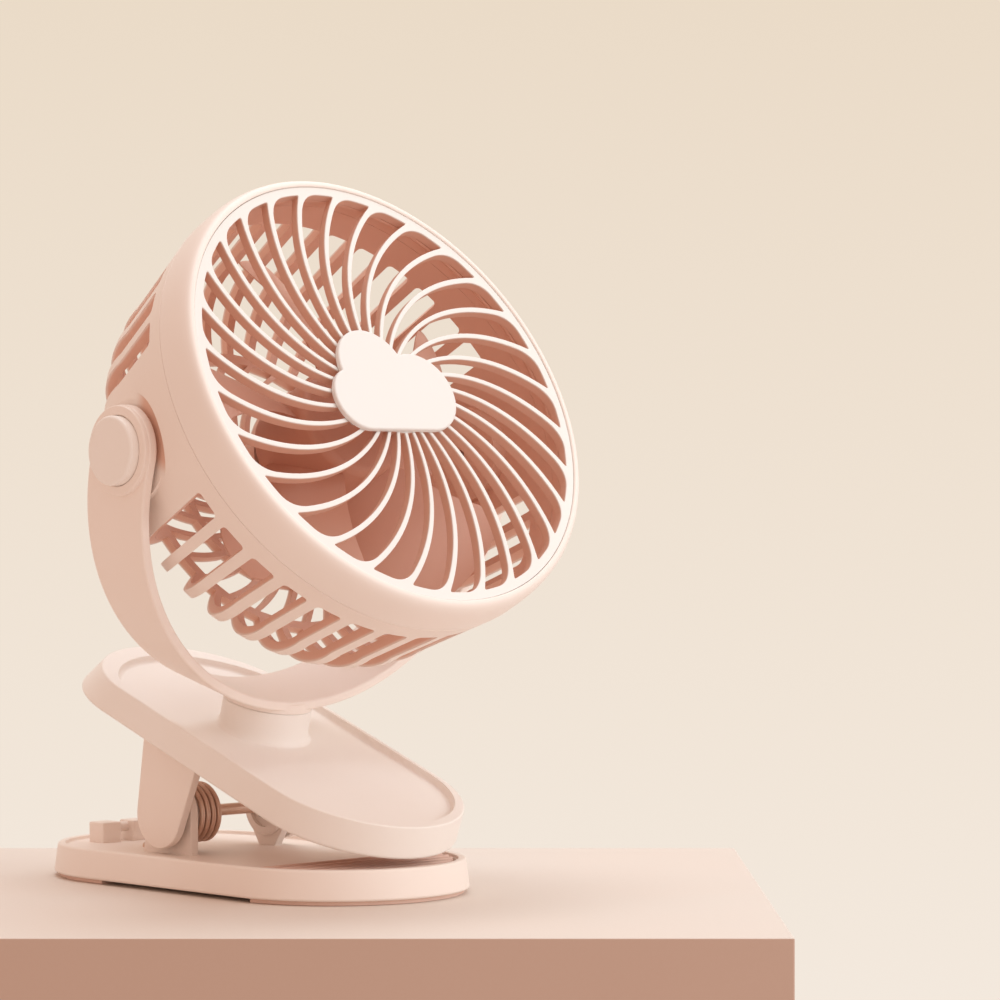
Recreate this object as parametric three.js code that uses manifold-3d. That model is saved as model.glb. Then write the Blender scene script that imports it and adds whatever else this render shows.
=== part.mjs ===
// A small clip-on fan: a round fan head that tilts in a turning yoke, on a spring clip.
// Sizes are in millimetres and degrees. +Z is up and the fan faces +X.
import * as THREE from 'three';
import { mergeVertices } from 'three/addons/utils/BufferGeometryUtils.js';
import Module from 'manifold-3d';

const wasm = await Module();
wasm.setup();

// ---------------------------------------------------------------- driving dimensions

const clearance = 0.3; // between pieces that touch, turn or slide on each other

const lower = { length: 147.2, width: 75.6, top: 9.95, draft: 0.9, edge: 0.8, rim: 2.4, recess: 1.2 };
const gripPocket = { start: 36, depth: 3.4 };
const foot = { thickness: 1.24, inset: 1.6, rearEnd: -28, frontStart: 39 };
const cordBar = { x: -58.5, length: 26, block: 6.4, blockDepth: 7, top: 14.9, radius: 1.5 };

const hinge = { x: -16, z: 20.5, pinRadius: 1.75, pinHalf: 23.6, collarRadius: 3.6, collarWidth: 1.2 };
const ear = { inner: 17.2, outer: 20, radius: 9.5, footRear: -29, bossRadius: 6.8, bossEnd: 6.9 };
const lug = { inner: 22, outer: 24.7, tipRadius: 10, rootRear: -27.2, rootFront: -0.8 };
const coil = { wire: 1.6, pitch: 2.08, turns: 4.2, steps: 8, sides: 5 };

const upper = {
  x: 6.54, z: 46, tilt: 20.3, rear: -71.5, front: 71.5, width: 63.6, height: 10.1, rearSlope: 7.5, edge: 1.1,
};
const tray = { rearRim: 7.4, frontRim: 3.7, sideRim: 2.5, depth: 2.5, floor: 1.6, wall: 2.4 };
const cover = { thickness: 1.6 };
const battery = { rear: 8, front: 55, halfWidth: 17, thickness: 3.6 };
const board = { rear: -38, front: 4, inner: 4, outer: 22, thickness: 1 };
const socket = { x: -22, width: 9, height: 3.2, depth: 8, wall: 0.4 };
const button = { x: -2, length: 8, height: 2.8, flange: 1.2, proud: 0.7, travel: 0.6 };
const lamp = { x: -11, radius: 1.1 };
const upperPad = { rear: 34, inset: 7, thickness: 2, ridge: 1.1, ridges: 6 };
const lowerPad = { inset: 1.2, thickness: 2.4, ridge: 0.9, ridges: 6 };

const pivot = { x: 24.3, z: 126.5 };
const neck = { tilt: 15.1, radius: 13.5, footRadius: 18.5, top: 75.7, straight: 78.6 };
const yoke = { radius: 70.5, drop: 4, wall: 2.9, halfWidth: 12.8 };
const trunnion = { radius: 4, land: 66.4, landRadius: 14.6, relief: 1.6, end: 70.8 };
const pivotCap = { radius: 9.7, ringRadius: 12.6, ringHeight: 1.3, face: 74.5 };
const pivotWasher = { radius: 9.2, thickness: 1.1 };
const pivotScrew = { head: 5.6, length: 9 };
const neckWasher = { radius: 11.2, thickness: 0.8 };

const head = { tilt: 62.15, lipRadius: 67.5, lip: 38.6, seam: 26, seamRadius: 70.4, waist: -1, waistRadius: 66 };
const cage = { corner: 25, back: -26, wall: 3, tongue: 3.4, slotTop: 19.5, slots: 15, pitch: 9.6, slotAngle: 6 };
const backGrille = { spokes: 30, spokeWidth: 1.9, rows: [[18.5, 29.4], [31.6, 43.4]], sweep: -26 };
const cowl = { wall: 2.4, groove: 66.3, ledge: 64.6, ledgeTop: 34.5 };
const grille = { bars: 30, radius: 66, tipRadius: 64.4, hub: 14, front: 38.1, thickness: 3.3, sweep: -30, first: 6.6 };
const bar = { innerWidth: 1.3, outerWidth: 2.1, steps: 4, tipCurve: 4.6 };
const plaque = { thickness: 1.5, edge: 0.6, stem: 3.2 };
const motor = { radius: 12, rear: -22.7, front: -6, noseRadius: 4, shaftRadius: 1.5, seatWall: 1.9, seatTop: -9 };
const rotor = { hubRadius: 17.5, rear: -4, front: 20, tip: 57.5, blades: 5, thickness: 1.5, wall: 1.8 };

const screw = { shank: 1.4, head: 3, headHeight: 1.4, slot: 0.8 };
const coverScrew = { headHeight: 0.7, well: 1, length: 4.2, post: 3.1, places: [[-51, 15], [-51, -15], [61, 13], [61, -13]] };

const degrees = Math.PI / 180;
const roundSides = 44;
const mediumSides = 20;
const smallSides = 12;

// ---------------------------------------------------------------- materials

const finish = (color, roughness, metalness = 0) =>
  new THREE.MeshStandardMaterial({ color, roughness, metalness });
const palePink = finish(0xf6e3da, 0.5);
const pink = finish(0xf0cfc2, 0.55);
const deepPink = finish(0xdfa994, 0.5);
const rubber = finish(0xe2b6a6, 0.85);
const steel = finish(0xb9bbbd, 0.3, 1);
const darkSteel = finish(0x77797c, 0.35, 1);
const boardGreen = finish(0x2f6b4a, 0.6);
const foil = finish(0xc9ccd0, 0.35, 0.6);
const lens = finish(0xfdfdfb, 0.2);
const nylon = finish(0xf4efe9, 0.6);

// ---------------------------------------------------------------- solids and shapes

function solidOf(geometry) {
  const bare = geometry.clone();
  bare.deleteAttribute('normal');
  bare.deleteAttribute('uv');
  const merged = mergeVertices(bare, 1e-4);
  const corners = [];
  for (let i = 0; i < merged.index.count; i += 3) {
    const [a, b, c] = [0, 1, 2].map((k) => merged.index.getX(i + k));
    if (a !== b && b !== c && c !== a) corners.push(a, b, c);
  }
  return new wasm.Manifold(new wasm.Mesh({
    numProp: 3,
    vertProperties: new Float32Array(merged.attributes.position.array),
    triVerts: new Uint32Array(corners),
  }));
}

function geometryOf(solid) {
  const mesh = solid.getMesh();
  const geometry = new THREE.BufferGeometry();
  geometry.setAttribute('position', new THREE.BufferAttribute(new Float32Array(mesh.vertProperties), 3));
  geometry.setIndex(new THREE.BufferAttribute(new Uint32Array(mesh.triVerts), 1));
  const flat = geometry.toNonIndexed();
  flat.computeVertexNormals();
  return flat;
}

const joined = (...solids) => solids.reduce((whole, next) => whole.add(next));
const cut = (solid, ...tools) => tools.reduce((rest, tool) => rest.subtract(tool), solid);

function piece(name, solid, material) {
  const mesh = new THREE.Mesh(geometryOf(solid), material);
  mesh.name = name;
  return mesh;
}

function box(x0, x1, y0, y1, z0, z1) {
  const geometry = new THREE.BoxGeometry(x1 - x0, y1 - y0, z1 - z0);
  geometry.translate((x0 + x1) / 2, (y0 + y1) / 2, (z0 + z1) / 2);
  return solidOf(geometry);
}

// A closed profile of [radius, height] points, counter-clockwise, turned about Z.
function turned(profile, sides = roundSides) {
  const points = profile.map(([radius, height]) => new THREE.Vector2(radius, height));
  const closed = profile[0][0] === 0 ? points : [...points, points[0].clone()];
  const geometry = new THREE.LatheGeometry(closed, sides);
  geometry.rotateX(Math.PI / 2);
  return geometry;
}

const revolved = (profile, sides) => solidOf(turned(profile, sides));
const rod = (radius, z0, z1, sides = smallSides) => revolved([[0, z0], [radius, z0], [radius, z1], [0, z1]], sides);
const ring = (inner, outer, z0, z1, sides = smallSides) =>
  revolved([[inner, z0], [outer, z0], [outer, z1], [inner, z1]], sides);

// The same turned profile lying along Y, its heights measured from y = 0 towards +Y or -Y.
function acrossY(profile, x, z, sides = smallSides, side = 1) {
  const geometry = turned(profile, sides);
  geometry.rotateX(side > 0 ? -Math.PI / 2 : Math.PI / 2);
  geometry.translate(x, 0, z);
  return solidOf(geometry);
}

const barAcross = (radius, y0, y1, x, z, sides = smallSides) =>
  acrossY([[0, y0], [radius, y0], [radius, y1], [0, y1]], x, z, sides);
const ringAcross = (inner, outer, y0, y1, x, z, sides = smallSides) =>
  acrossY([[inner, y0], [outer, y0], [outer, y1], [inner, y1]], x, z, sides);

function slab(shape, z0, z1, curveSegments = 8) {
  const geometry = new THREE.ExtrudeGeometry(shape, { depth: z1 - z0, bevelEnabled: false, curveSegments });
  geometry.translate(0, 0, z0);
  return solidOf(geometry);
}

// An outline drawn in X and Z, as thick as from y0 to y1.
function plate(shape, y0, y1, curveSegments = 10) {
  const geometry = new THREE.ExtrudeGeometry(shape, { depth: y1 - y0, bevelEnabled: false, curveSegments });
  geometry.rotateX(Math.PI / 2);
  geometry.translate(0, y1, 0);
  return solidOf(geometry);
}

// A skin over rings of points that all have the same count, closed by a strip across each end.
function lofted(rings) {
  const count = rings[0].length;
  const positions = rings.flat().flatMap((point) => [point.x, point.y, point.z]);
  const index = [];
  for (let r = 0; r + 1 < rings.length; r += 1) {
    for (let i = 0; i < count; i += 1) {
      const a = r * count + i;
      const b = r * count + (i + 1) % count;
      index.push(a, b, a + count, b, b + count, a + count);
    }
  }
  const last = (rings.length - 1) * count;
  for (let i = 0; 2 * i + 2 < count; i += 1) {
    const [a, b, c, d] = [i, i + 1, count - 2 - i, count - 1 - i];
    index.push(a, c, b, a, d, c);
    index.push(last + a, last + b, last + c, last + a, last + c, last + d);
  }
  const geometry = new THREE.BufferGeometry();
  geometry.setAttribute('position', new THREE.Float32BufferAttribute(positions, 3));
  geometry.setIndex(index);
  return solidOf(geometry);
}

// A rounded bar outline from x = rear to x = front, its ends half circles, at height z.
function barRing(rear, front, width, z, steps = 12) {
  const radius = width / 2;
  const points = [];
  for (const [centre, start] of [[front - radius, -90], [rear + radius, 90]]) {
    for (let i = 0; i <= steps; i += 1) {
      const angle = (start + 180 * i / steps) * degrees;
      points.push(new THREE.Vector3(centre + radius * Math.cos(angle), radius * Math.sin(angle), z));
    }
  }
  return points;
}

// Where a line from a point touches a circle, on its left or right side as seen along the line.
function touchAngle(from, centre, radius, side) {
  const away = Math.atan2(from.z - centre.z, from.x - centre.x);
  const distance = Math.hypot(from.x - centre.x, from.z - centre.z);
  return away + side * Math.acos(radius / distance);
}

function roundedRectangle(x0, x1, y0, y1, radius) {
  const shape = new THREE.Shape();
  shape.moveTo(x0 + radius, y0);
  shape.lineTo(x1 - radius, y0);
  shape.absarc(x1 - radius, y0 + radius, radius, -Math.PI / 2, 0);
  shape.lineTo(x1, y1 - radius);
  shape.absarc(x1 - radius, y1 - radius, radius, 0, Math.PI / 2);
  shape.lineTo(x0 + radius, y1);
  shape.absarc(x0 + radius, y1 - radius, radius, Math.PI / 2, Math.PI);
  shape.lineTo(x0, y0 + radius);
  shape.absarc(x0 + radius, y0 + radius, radius, Math.PI, 1.5 * Math.PI);
  return shape;
}

// A screw along Z: its shank runs down from z = 0 and its head stands on it.
function screwSolid(length, { shank = screw.shank, headRadius = screw.head, headHeight = screw.headHeight } = {}) {
  const body = revolved([
    [0, -length], [shank, -length], [shank, 0], [headRadius, 0], [headRadius, headHeight / 2],
    [headRadius * 0.8, headHeight], [0, headHeight],
  ], smallSides);
  const half = headRadius + 1;
  return cut(body, box(-half, half, -screw.slot / 2, screw.slot / 2, headHeight / 2, headHeight + 1));
}

// ---------------------------------------------------------------- lower jaw and its feet

const lowerEnd = lower.length / 2;
const lowerFloor = lower.top - lower.recess;
const jawBottom = foot.thickness;

function lowerJawBlank() {
  const inset = (amount, z) =>
    barRing(-lowerEnd + amount, lowerEnd - amount, lower.width - 2 * amount, z);
  return lofted([
    inset(lower.edge, jawBottom),
    inset(0, jawBottom + lower.edge),
    inset(lower.draft, lower.top - lower.edge),
    inset(lower.draft + lower.edge / 2, lower.top),
  ]);
}

function lowerRecess() {
  const rim = lower.draft + lower.rim;
  const at = (amount, z) => barRing(-lowerEnd + amount, lowerEnd - amount, lower.width - 2 * amount, z);
  return lofted([at(rim + lower.recess / 2, lowerFloor), at(rim, lower.top - lower.recess / 3), at(rim, lower.top + 1)]);
}

// The room inside the rim ahead of some x, from z0 to z1; both the pocket and its pad follow it.
function insideRim(amount, start, z0, z1) {
  const inset = lower.draft + lower.rim + amount;
  const at = (z) => barRing(-lowerEnd + inset, lowerEnd - inset, lower.width - 2 * inset, z);
  return lofted([at(z0), at(z1)]).intersect(box(start, lowerEnd, -lower.width, lower.width, z0 - 1, z1 + 1));
}

const pocketFloor = lower.top - gripPocket.depth;

function earPlate(side) {
  const top = { x: hinge.x, z: hinge.z };
  const footPoint = { x: ear.footRear, z: lowerFloor - 1 };
  const rearTouch = touchAngle(footPoint, top, ear.radius, -1);
  const shape = new THREE.Shape();
  shape.moveTo(footPoint.x, footPoint.z);
  shape.lineTo(hinge.x + ear.radius, footPoint.z);
  shape.absarc(top.x, top.z, ear.radius, 0, rearTouch + 2 * Math.PI);
  const [y0, y1] = side < 0 ? [-ear.outer, -ear.inner] : [ear.inner, ear.outer];
  return plate(shape, y0, y1);
}

function cordBarSolid() {
  const half = cordBar.length / 2;
  const inner = half - cordBar.block;
  const [x0, x1] = [cordBar.x - cordBar.blockDepth / 2, cordBar.x + cordBar.blockDepth / 2];
  const base = lowerFloor - 1;
  return joined(
    box(x0, x1, -half, -inner, base, cordBar.top),
    box(x0, x1, inner, half, base, cordBar.top),
    barAcross(cordBar.radius, -inner - 1, inner + 1, cordBar.x, cordBar.top - cordBar.radius - 0.4, 12),
  );
}

function lowerJawSolid() {
  const body = cut(
    lowerJawBlank(),
    lowerRecess(),
    insideRim(0.3, gripPocket.start, pocketFloor, lower.top + 1),
  );
  const spacer = (side) => {
    const [y0, y1] = side < 0 ? [-lug.inner + clearance, -ear.outer + 1] : [ear.outer - 1, lug.inner - clearance];
    return barAcross(hinge.pinRadius + 2.4, y0, y1, hinge.x, hinge.z);
  };
  const springBoss = barAcross(ear.bossRadius, -ear.inner - 1, -ear.bossEnd, hinge.x, hinge.z, mediumSides);
  const whole = joined(body, earPlate(-1), earPlate(1), spacer(-1), spacer(1), springBoss, cordBarSolid());
  return cut(whole, barAcross(hinge.pinRadius + clearance, -lug.outer, lug.outer, hinge.x, hinge.z));
}

function footSolid(x0, x1) {
  const outline = barRing(
    -lowerEnd + foot.inset, lowerEnd - foot.inset, lower.width - 2 * foot.inset, 0,
  );
  const top = outline.map((point) => new THREE.Vector3(point.x, point.y, foot.thickness));
  const half = lower.width;
  return lofted([outline, top]).intersect(box(x0, x1, -half, half, -1, foot.thickness + 1));
}

// A grip pad inside some outline: a base from z0 to z1 with cross ridges that rise to the crest.
function gripPadSolid(outline, x0, x1, z0, z1, crest, ridges) {
  const half = lower.width / 2;
  const pitch = (x1 - x0) / ridges;
  const sunk = z1 - Math.sign(crest - z1) * 0.5;
  const ribs = [];
  for (let i = 0; i < ridges; i += 1) {
    const middle = x0 + (i + 0.5) * pitch;
    const points = [[-0.32, sunk], [0.32, sunk], [0.16, crest], [-0.16, crest]]
      .map(([part, z]) => new THREE.Vector2(middle + part * pitch, z));
    if (crest < z1) points.reverse();
    ribs.push(plate(new THREE.Shape(points), -half, half));
  }
  return joined(box(x0, x1, -half, half, Math.min(z0, z1), Math.max(z0, z1)), ...ribs).intersect(outline);
}

function lowerPadSolid() {
  const start = gripPocket.start + lowerPad.inset;
  const z0 = pocketFloor + clearance;
  const z1 = z0 + lowerPad.thickness;
  const outline = insideRim(0.3 + lowerPad.inset, start, z0 - 1, z1 + 3);
  const end = lowerEnd - lower.draft - lower.rim - lowerPad.inset;
  return gripPadSolid(outline, start, end, z0, z1, z1 + lowerPad.ridge, lowerPad.ridges);
}

function upperPadSolid() {
  const z0 = -upper.height - clearance;
  const z1 = z0 - upperPad.thickness;
  const crest = z1 - upperPad.ridge;
  const outline = lofted([upperPadRing(crest - 1), upperPadRing(z0 + 1)]);
  return gripPadSolid(outline, upperPad.rear, upper.front - upperPad.inset, z0, z1, crest, upperPad.ridges);
}

const upperPadRing = (z) => barRing(
  upper.rear, upper.front - upperPad.inset, upper.width - 2 * upperPad.inset, z,
);

// ---------------------------------------------------------------- clip spring

// The centre line: a leg on the lower jaw, the coil round the pin, and a leg under the upper jaw.
function springPath() {
  const radius = (ear.bossRadius + clearance + coil.wire / 2) / Math.cos(Math.PI / coil.steps);
  const firstY = -ear.inner + clearance + coil.wire / 2;
  const path = [];
  const lowerAngle = -90;
  const upperAngle = lowerAngle - 360 * coil.turns;
  const steps = Math.round(coil.turns * coil.steps);
  const at = (angle, y) => new THREE.Vector3(
    hinge.x + radius * Math.cos(angle * degrees), y, hinge.z + radius * Math.sin(angle * degrees),
  );
  const start = at(lowerAngle, firstY);
  const restZ = lowerFloor + clearance + coil.wire / 2;
  path.push(new THREE.Vector3(start.x - 17, firstY, restZ));
  path.push(new THREE.Vector3(start.x - 8, firstY, restZ + 0.3));
  for (let i = 0; i <= steps; i += 1) {
    const turn = i / steps;
    path.push(at(lowerAngle + (upperAngle - lowerAngle) * turn, firstY + coil.pitch * coil.turns * turn));
  }
  const end = path.at(-1);
  const leave = (upperAngle - 90) * degrees;
  const slope = Math.tan(upper.tilt * degrees);
  const seatBelow = (clearance + coil.wire / 2) / Math.cos(upper.tilt * degrees);
  const rise = underUpperJaw(end.x) - seatBelow - end.z;
  const length = rise / (Math.sin(leave) + Math.cos(leave) * slope);
  for (const part of [0.5, 1]) {
    const reach = length * part;
    path.push(new THREE.Vector3(end.x + reach * Math.cos(leave), end.y, end.z + reach * Math.sin(leave)));
  }
  return path;
}

// The height of the upper jaw's flat underside above a place on the X axis.
function underUpperJaw(x) {
  const tilt = upper.tilt * degrees;
  const along = (x - upper.x + upper.height * Math.sin(tilt)) / Math.cos(tilt);
  return upper.z - along * Math.sin(tilt) - upper.height * Math.cos(tilt);
}

function tubeAlong(path, radius, sides) {
  const rings = path.map((point, i) => {
    const before = path[Math.max(i - 1, 0)];
    const after = path[Math.min(i + 1, path.length - 1)];
    const along = after.clone().sub(before).normalize();
    const across = new THREE.Vector3(0, 1, 0).addScaledVector(along, -along.y).normalize();
    const third = along.clone().cross(across);
    const points = [];
    for (let k = 0; k < sides; k += 1) {
      const angle = 2 * Math.PI * k / sides;
      points.push(point.clone()
        .addScaledVector(across, radius * Math.cos(angle))
        .addScaledVector(third, radius * Math.sin(angle)));
    }
    return points;
  });
  return lofted(rings);
}

// The least gap between turns of the wire that aren't neighbours along it.
function leastSelfGap(path, wire) {
  let least = Infinity;
  for (let i = 0; i < path.length; i += 1) {
    for (let j = i + Math.round(coil.steps / 2); j < path.length; j += 1) {
      least = Math.min(least, path[i].distanceTo(path[j]) - wire);
    }
  }
  return least;
}

// ---------------------------------------------------------------- upper jaw

const slopeAt = (z) => -upper.rearSlope * (z + upper.height) / upper.height;

// The jaw's outline at a height below its rim, drawn in from the wall by some amount.
function upperRing(z, inset) {
  const rear = upper.rear - slopeAt(z) + inset;
  return barRing(rear, upper.front - inset, upper.width - 2 * inset, z);
}

function upperBlank() {
  const bottom = -upper.height;
  return lofted([
    upperRing(bottom, upper.edge),
    upperRing(bottom + upper.edge / 3, upper.edge / 3),
    upperRing(bottom + upper.edge, 0),
    upperRing(-0.4, 0),
    upperRing(0, 0.4),
  ]);
}

function trayRecess() {
  const rimRear = upper.rear + upper.rearSlope + tray.rearRim;
  const at = (amount, z) => barRing(
    rimRear + amount * 2, upper.front - tray.frontRim - amount, upper.width - 2 * tray.sideRim - 2 * amount, z,
  );
  return lofted([at(2.4, -tray.depth), at(1, -tray.depth * 0.75), at(0.3, -tray.depth * 0.3), at(0, 0), at(0, 1)]);
}

const trayUnderside = -tray.depth - tray.floor;
const coverTop = -upper.height + cover.thickness;

// The neck's axis leans from the jaw's own, so its turned shapes are set here in the jaw's frame.
const lean = neck.tilt - upper.tilt;
const pivotInJaw = new THREE.Vector3(pivot.x - upper.x, 0, pivot.z - upper.z)
  .applyAxisAngle(new THREE.Vector3(0, 1, 0), -upper.tilt * degrees);

function onNeckAxis(geometry) {
  geometry.rotateY(lean * degrees);
  geometry.translate(pivotInJaw.x, 0, pivotInJaw.z);
  return solidOf(geometry);
}

function neckSolid() {
  const foot0 = -neck.straight - 10;
  const flare = [];
  for (let i = 0; i <= 3; i += 1) {
    const angle = 90 * i / 3 * degrees;
    const spread = neck.footRadius - neck.radius;
    flare.push([neck.footRadius - spread * Math.sin(angle), -neck.straight - 5.4 * Math.cos(angle)]);
  }
  const blank = onNeckAxis(turned([
    [0, foot0], [neck.footRadius, foot0], ...flare,
    [neck.radius, -neck.top - 0.4], [neck.radius - 0.4, -neck.top], [0, -neck.top],
  ], mediumSides));
  return blank.intersect(box(-60, 60, -40, 40, trayUnderside + 0.2, 40));
}

const swivelHead = { floor: -yoke.radius - yoke.drop + 1.1, radius: 3.2, shank: 1.5, length: 10.4 };
const neckBoreDepth = 8.6;

function neckBores() {
  const washerSeat = onNeckAxis(turned([
    [0, -neck.top - neckWasher.thickness - clearance],
    [neckWasher.radius + clearance, -neck.top - neckWasher.thickness - clearance],
    [neckWasher.radius + clearance, -neck.top + 1],
    [0, -neck.top + 1],
  ], mediumSides));
  const screwBore = onNeckAxis(turned([
    [0, -neck.top - neckBoreDepth], [swivelHead.shank + clearance, -neck.top - neckBoreDepth],
    [swivelHead.shank + clearance, -neck.top + 1], [0, -neck.top + 1],
  ], smallSides));
  return [washerSeat, screwBore];
}

// A turned shape standing at each of the cover's four screws.
const atCoverScrews = (profile) => coverScrew.places.map(([x, y]) => {
  const geometry = turned(profile, smallSides);
  geometry.translate(x, y, 0);
  return solidOf(geometry);
});

function upperTraySolid() {
  const wall = tray.wall;
  const cavity = lofted([
    upperRing(-upper.height - 1, wall), upperRing(trayUnderside, wall),
  ]);
  const posts = atCoverScrews([
    [0, coverTop + clearance], [coverScrew.post, coverTop + clearance],
    [coverScrew.post, trayUnderside + 0.5], [0, trayUnderside + 0.5],
  ]);
  const shell = cut(upperBlank(), trayRecess(), cavity);
  const whole = joined(shell, neckSolid(), ...posts);
  const sideY = upper.width / 2;
  const middleZ = (trayUnderside + coverTop) / 2;
  const socketHole = box(
    socket.x - socket.width / 2 - clearance, socket.x + socket.width / 2 + clearance, sideY - wall - 1, sideY + 1,
    middleZ - socket.height / 2 - clearance, middleZ + socket.height / 2 + clearance,
  );
  const buttonHole = plate(roundedRectangle(
    button.x - button.length / 2 - clearance, button.x + button.length / 2 + clearance,
    middleZ - button.height / 2 - clearance, middleZ + button.height / 2 + clearance, button.height / 2,
  ), sideY - wall - 1, sideY + 1, 4);
  const lampHole = barAcross(lamp.radius + clearance, sideY - wall - 1, sideY + 1, lamp.x, middleZ);
  const pilot = screw.shank + clearance;
  const pilots = atCoverScrews([
    [0, coverTop - 1], [pilot, coverTop - 1], [pilot, trayUnderside - clearance], [0, trayUnderside - clearance],
  ]);
  return cut(whole, ...neckBores(), socketHole, buttonHole, lampHole, ...pilots);
}

const pinInJaw = new THREE.Vector3(hinge.x - upper.x, 0, hinge.z - upper.z)
  .applyAxisAngle(new THREE.Vector3(0, 1, 0), -upper.tilt * degrees);

function lugPlate(side) {
  const centre = { x: pinInJaw.x, z: pinInJaw.z };
  const root = coverTop - cover.thickness / 2;
  const rearTouch = touchAngle({ x: lug.rootRear, z: root }, centre, lug.tipRadius, 1);
  const frontTouch = touchAngle({ x: lug.rootFront, z: root }, centre, lug.tipRadius, -1);
  const shape = new THREE.Shape();
  shape.moveTo(lug.rootFront, root);
  shape.lineTo(lug.rootRear, root);
  shape.absarc(centre.x, centre.z, lug.tipRadius, rearTouch, frontTouch + 2 * Math.PI);
  const [y0, y1] = side < 0 ? [-lug.outer, -lug.inner] : [lug.inner, lug.outer];
  return plate(shape, y0, y1, 14);
}

function upperCoverSolid() {
  const inset = tray.wall + clearance;
  const panel = lofted([upperRing(-upper.height, inset), upperRing(coverTop, inset)]);
  const whole = joined(panel, lugPlate(-1), lugPlate(1));
  const blindBore = barAcross(
    hinge.pinRadius + clearance, -hinge.pinHalf - clearance, hinge.pinHalf + clearance, pinInJaw.x, pinInJaw.z,
  );
  const floorZ = -upper.height + coverScrew.well;
  const [wide, narrow] = [screw.head + clearance, screw.shank + clearance];
  const holes = atCoverScrews([
    [0, -upper.height - 1], [wide, -upper.height - 1], [wide, floorZ], [narrow, floorZ],
    [narrow, coverTop + 1], [0, coverTop + 1],
  ]);
  return cut(whole, blindBore, ...holes);
}

function coverScrewSolid(x, y) {
  const geometry = geometryOf(screwSolid(coverScrew.length, { headHeight: coverScrew.headHeight }));
  geometry.rotateX(Math.PI);
  geometry.translate(x, y, -upper.height + coverScrew.well - clearance);
  return solidOf(geometry);
}

// What the jaw carries inside and in its far wall: cell, board, inlet, button and lamp.
function upperFittings() {
  const sideY = upper.width / 2;
  const innerY = sideY - tray.wall;
  const middleZ = (trayUnderside + coverTop) / 2;
  const cellRound = battery.thickness / 2;
  const cell = plate(
    roundedRectangle(
      battery.rear, battery.front, middleZ - cellRound, middleZ + cellRound, cellRound * 0.6,
    ),
    -battery.halfWidth, battery.halfWidth, 4,
  );
  const boardBase = coverTop + clearance;
  const circuit = joined(
    box(board.rear, board.front, board.inner, board.outer, boardBase, boardBase + board.thickness),
    box(board.rear + 5, board.rear + 11, board.inner + 4, board.inner + 10, boardBase + 0.5, boardBase + 2.4),
    box(board.rear + 22, board.rear + 26, board.inner + 3, board.inner + 8, boardBase + 0.5, boardBase + 2.2),
    box(button.x - 2.6, button.x + 2.6, board.outer - 5, board.outer, boardBase + 0.5, middleZ + 1.4),
  );
  const shell = plate(roundedRectangle(
    socket.x - socket.width / 2, socket.x + socket.width / 2,
    middleZ - socket.height / 2, middleZ + socket.height / 2, socket.height * 0.45,
  ), board.outer + clearance, board.outer + clearance + socket.depth + 0.9, 3);
  const mouth = plate(roundedRectangle(
    socket.x - socket.width / 2 + socket.wall, socket.x + socket.width / 2 - socket.wall,
    middleZ - socket.height / 2 + socket.wall, middleZ + socket.height / 2 - socket.wall, socket.height * 0.35,
  ), board.outer + clearance + 1.2, sideY + 1, 3);
  const tongue = box(
    socket.x - socket.width * 0.32, socket.x + socket.width * 0.32, board.outer + 1, sideY - 1.2,
    middleZ - 0.35, middleZ + 0.35,
  );
  const key = plate(roundedRectangle(
    button.x - button.length / 2, button.x + button.length / 2,
    middleZ - button.height / 2, middleZ + button.height / 2, button.height * 0.45,
  ), innerY - clearance - 1, sideY + button.proud, 3);
  const keyFlange = box(
    button.x - button.length / 2 - button.flange, button.x + button.length / 2 + button.flange,
    innerY - clearance - 1.2, innerY - clearance, middleZ - 1.9, middleZ + 1.9,
  );
  const plunger = box(
    button.x - 1, button.x + 1, board.outer + clearance + button.travel + 0.2, innerY - clearance - 1,
    middleZ - 0.9, middleZ + 0.9,
  );
  return [
    piece('battery_cell', cell, foil),
    piece('circuit_board', circuit, boardGreen),
    piece('usb_socket', joined(cut(shell, mouth), tongue), steel),
    piece('power_button', joined(key, keyFlange, plunger), palePink),
    piece('indicator_lens', barAcross(lamp.radius, board.outer + clearance, sideY + 0.2, lamp.x, middleZ), lens),
  ];
}

// ---------------------------------------------------------------- yoke

// The band's outline across Y and Z: straight beside the pivots, round below them.
function yokeOutline(radius, top) {
  const shape = new THREE.Shape();
  shape.moveTo(radius, top);
  shape.lineTo(-radius, top);
  shape.absarc(0, -yoke.drop, radius, Math.PI, 2 * Math.PI);
  return shape;
}

function yokeBand() {
  const along = (shape) => {
    const geometry = new THREE.ExtrudeGeometry(
      shape, { depth: 2 * yoke.halfWidth, bevelEnabled: false, curveSegments: 26 },
    );
    geometry.rotateX(Math.PI / 2);
    geometry.rotateZ(Math.PI / 2);
    geometry.translate(-yoke.halfWidth, 0, 0);
    return solidOf(geometry);
  };
  const high = yoke.halfWidth + 2;
  const band = cut(along(yokeOutline(yoke.radius, high)), along(yokeOutline(yoke.radius - yoke.wall, high + 1)));
  const side = new THREE.Shape();
  const low = -yoke.radius - yoke.drop - 2;
  side.moveTo(-yoke.halfWidth, low);
  side.lineTo(yoke.halfWidth, low);
  side.absarc(0, 0, yoke.halfWidth, 0, Math.PI);
  return band.intersect(plate(side, -yoke.radius - 2, yoke.radius + 2, 12));
}

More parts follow.
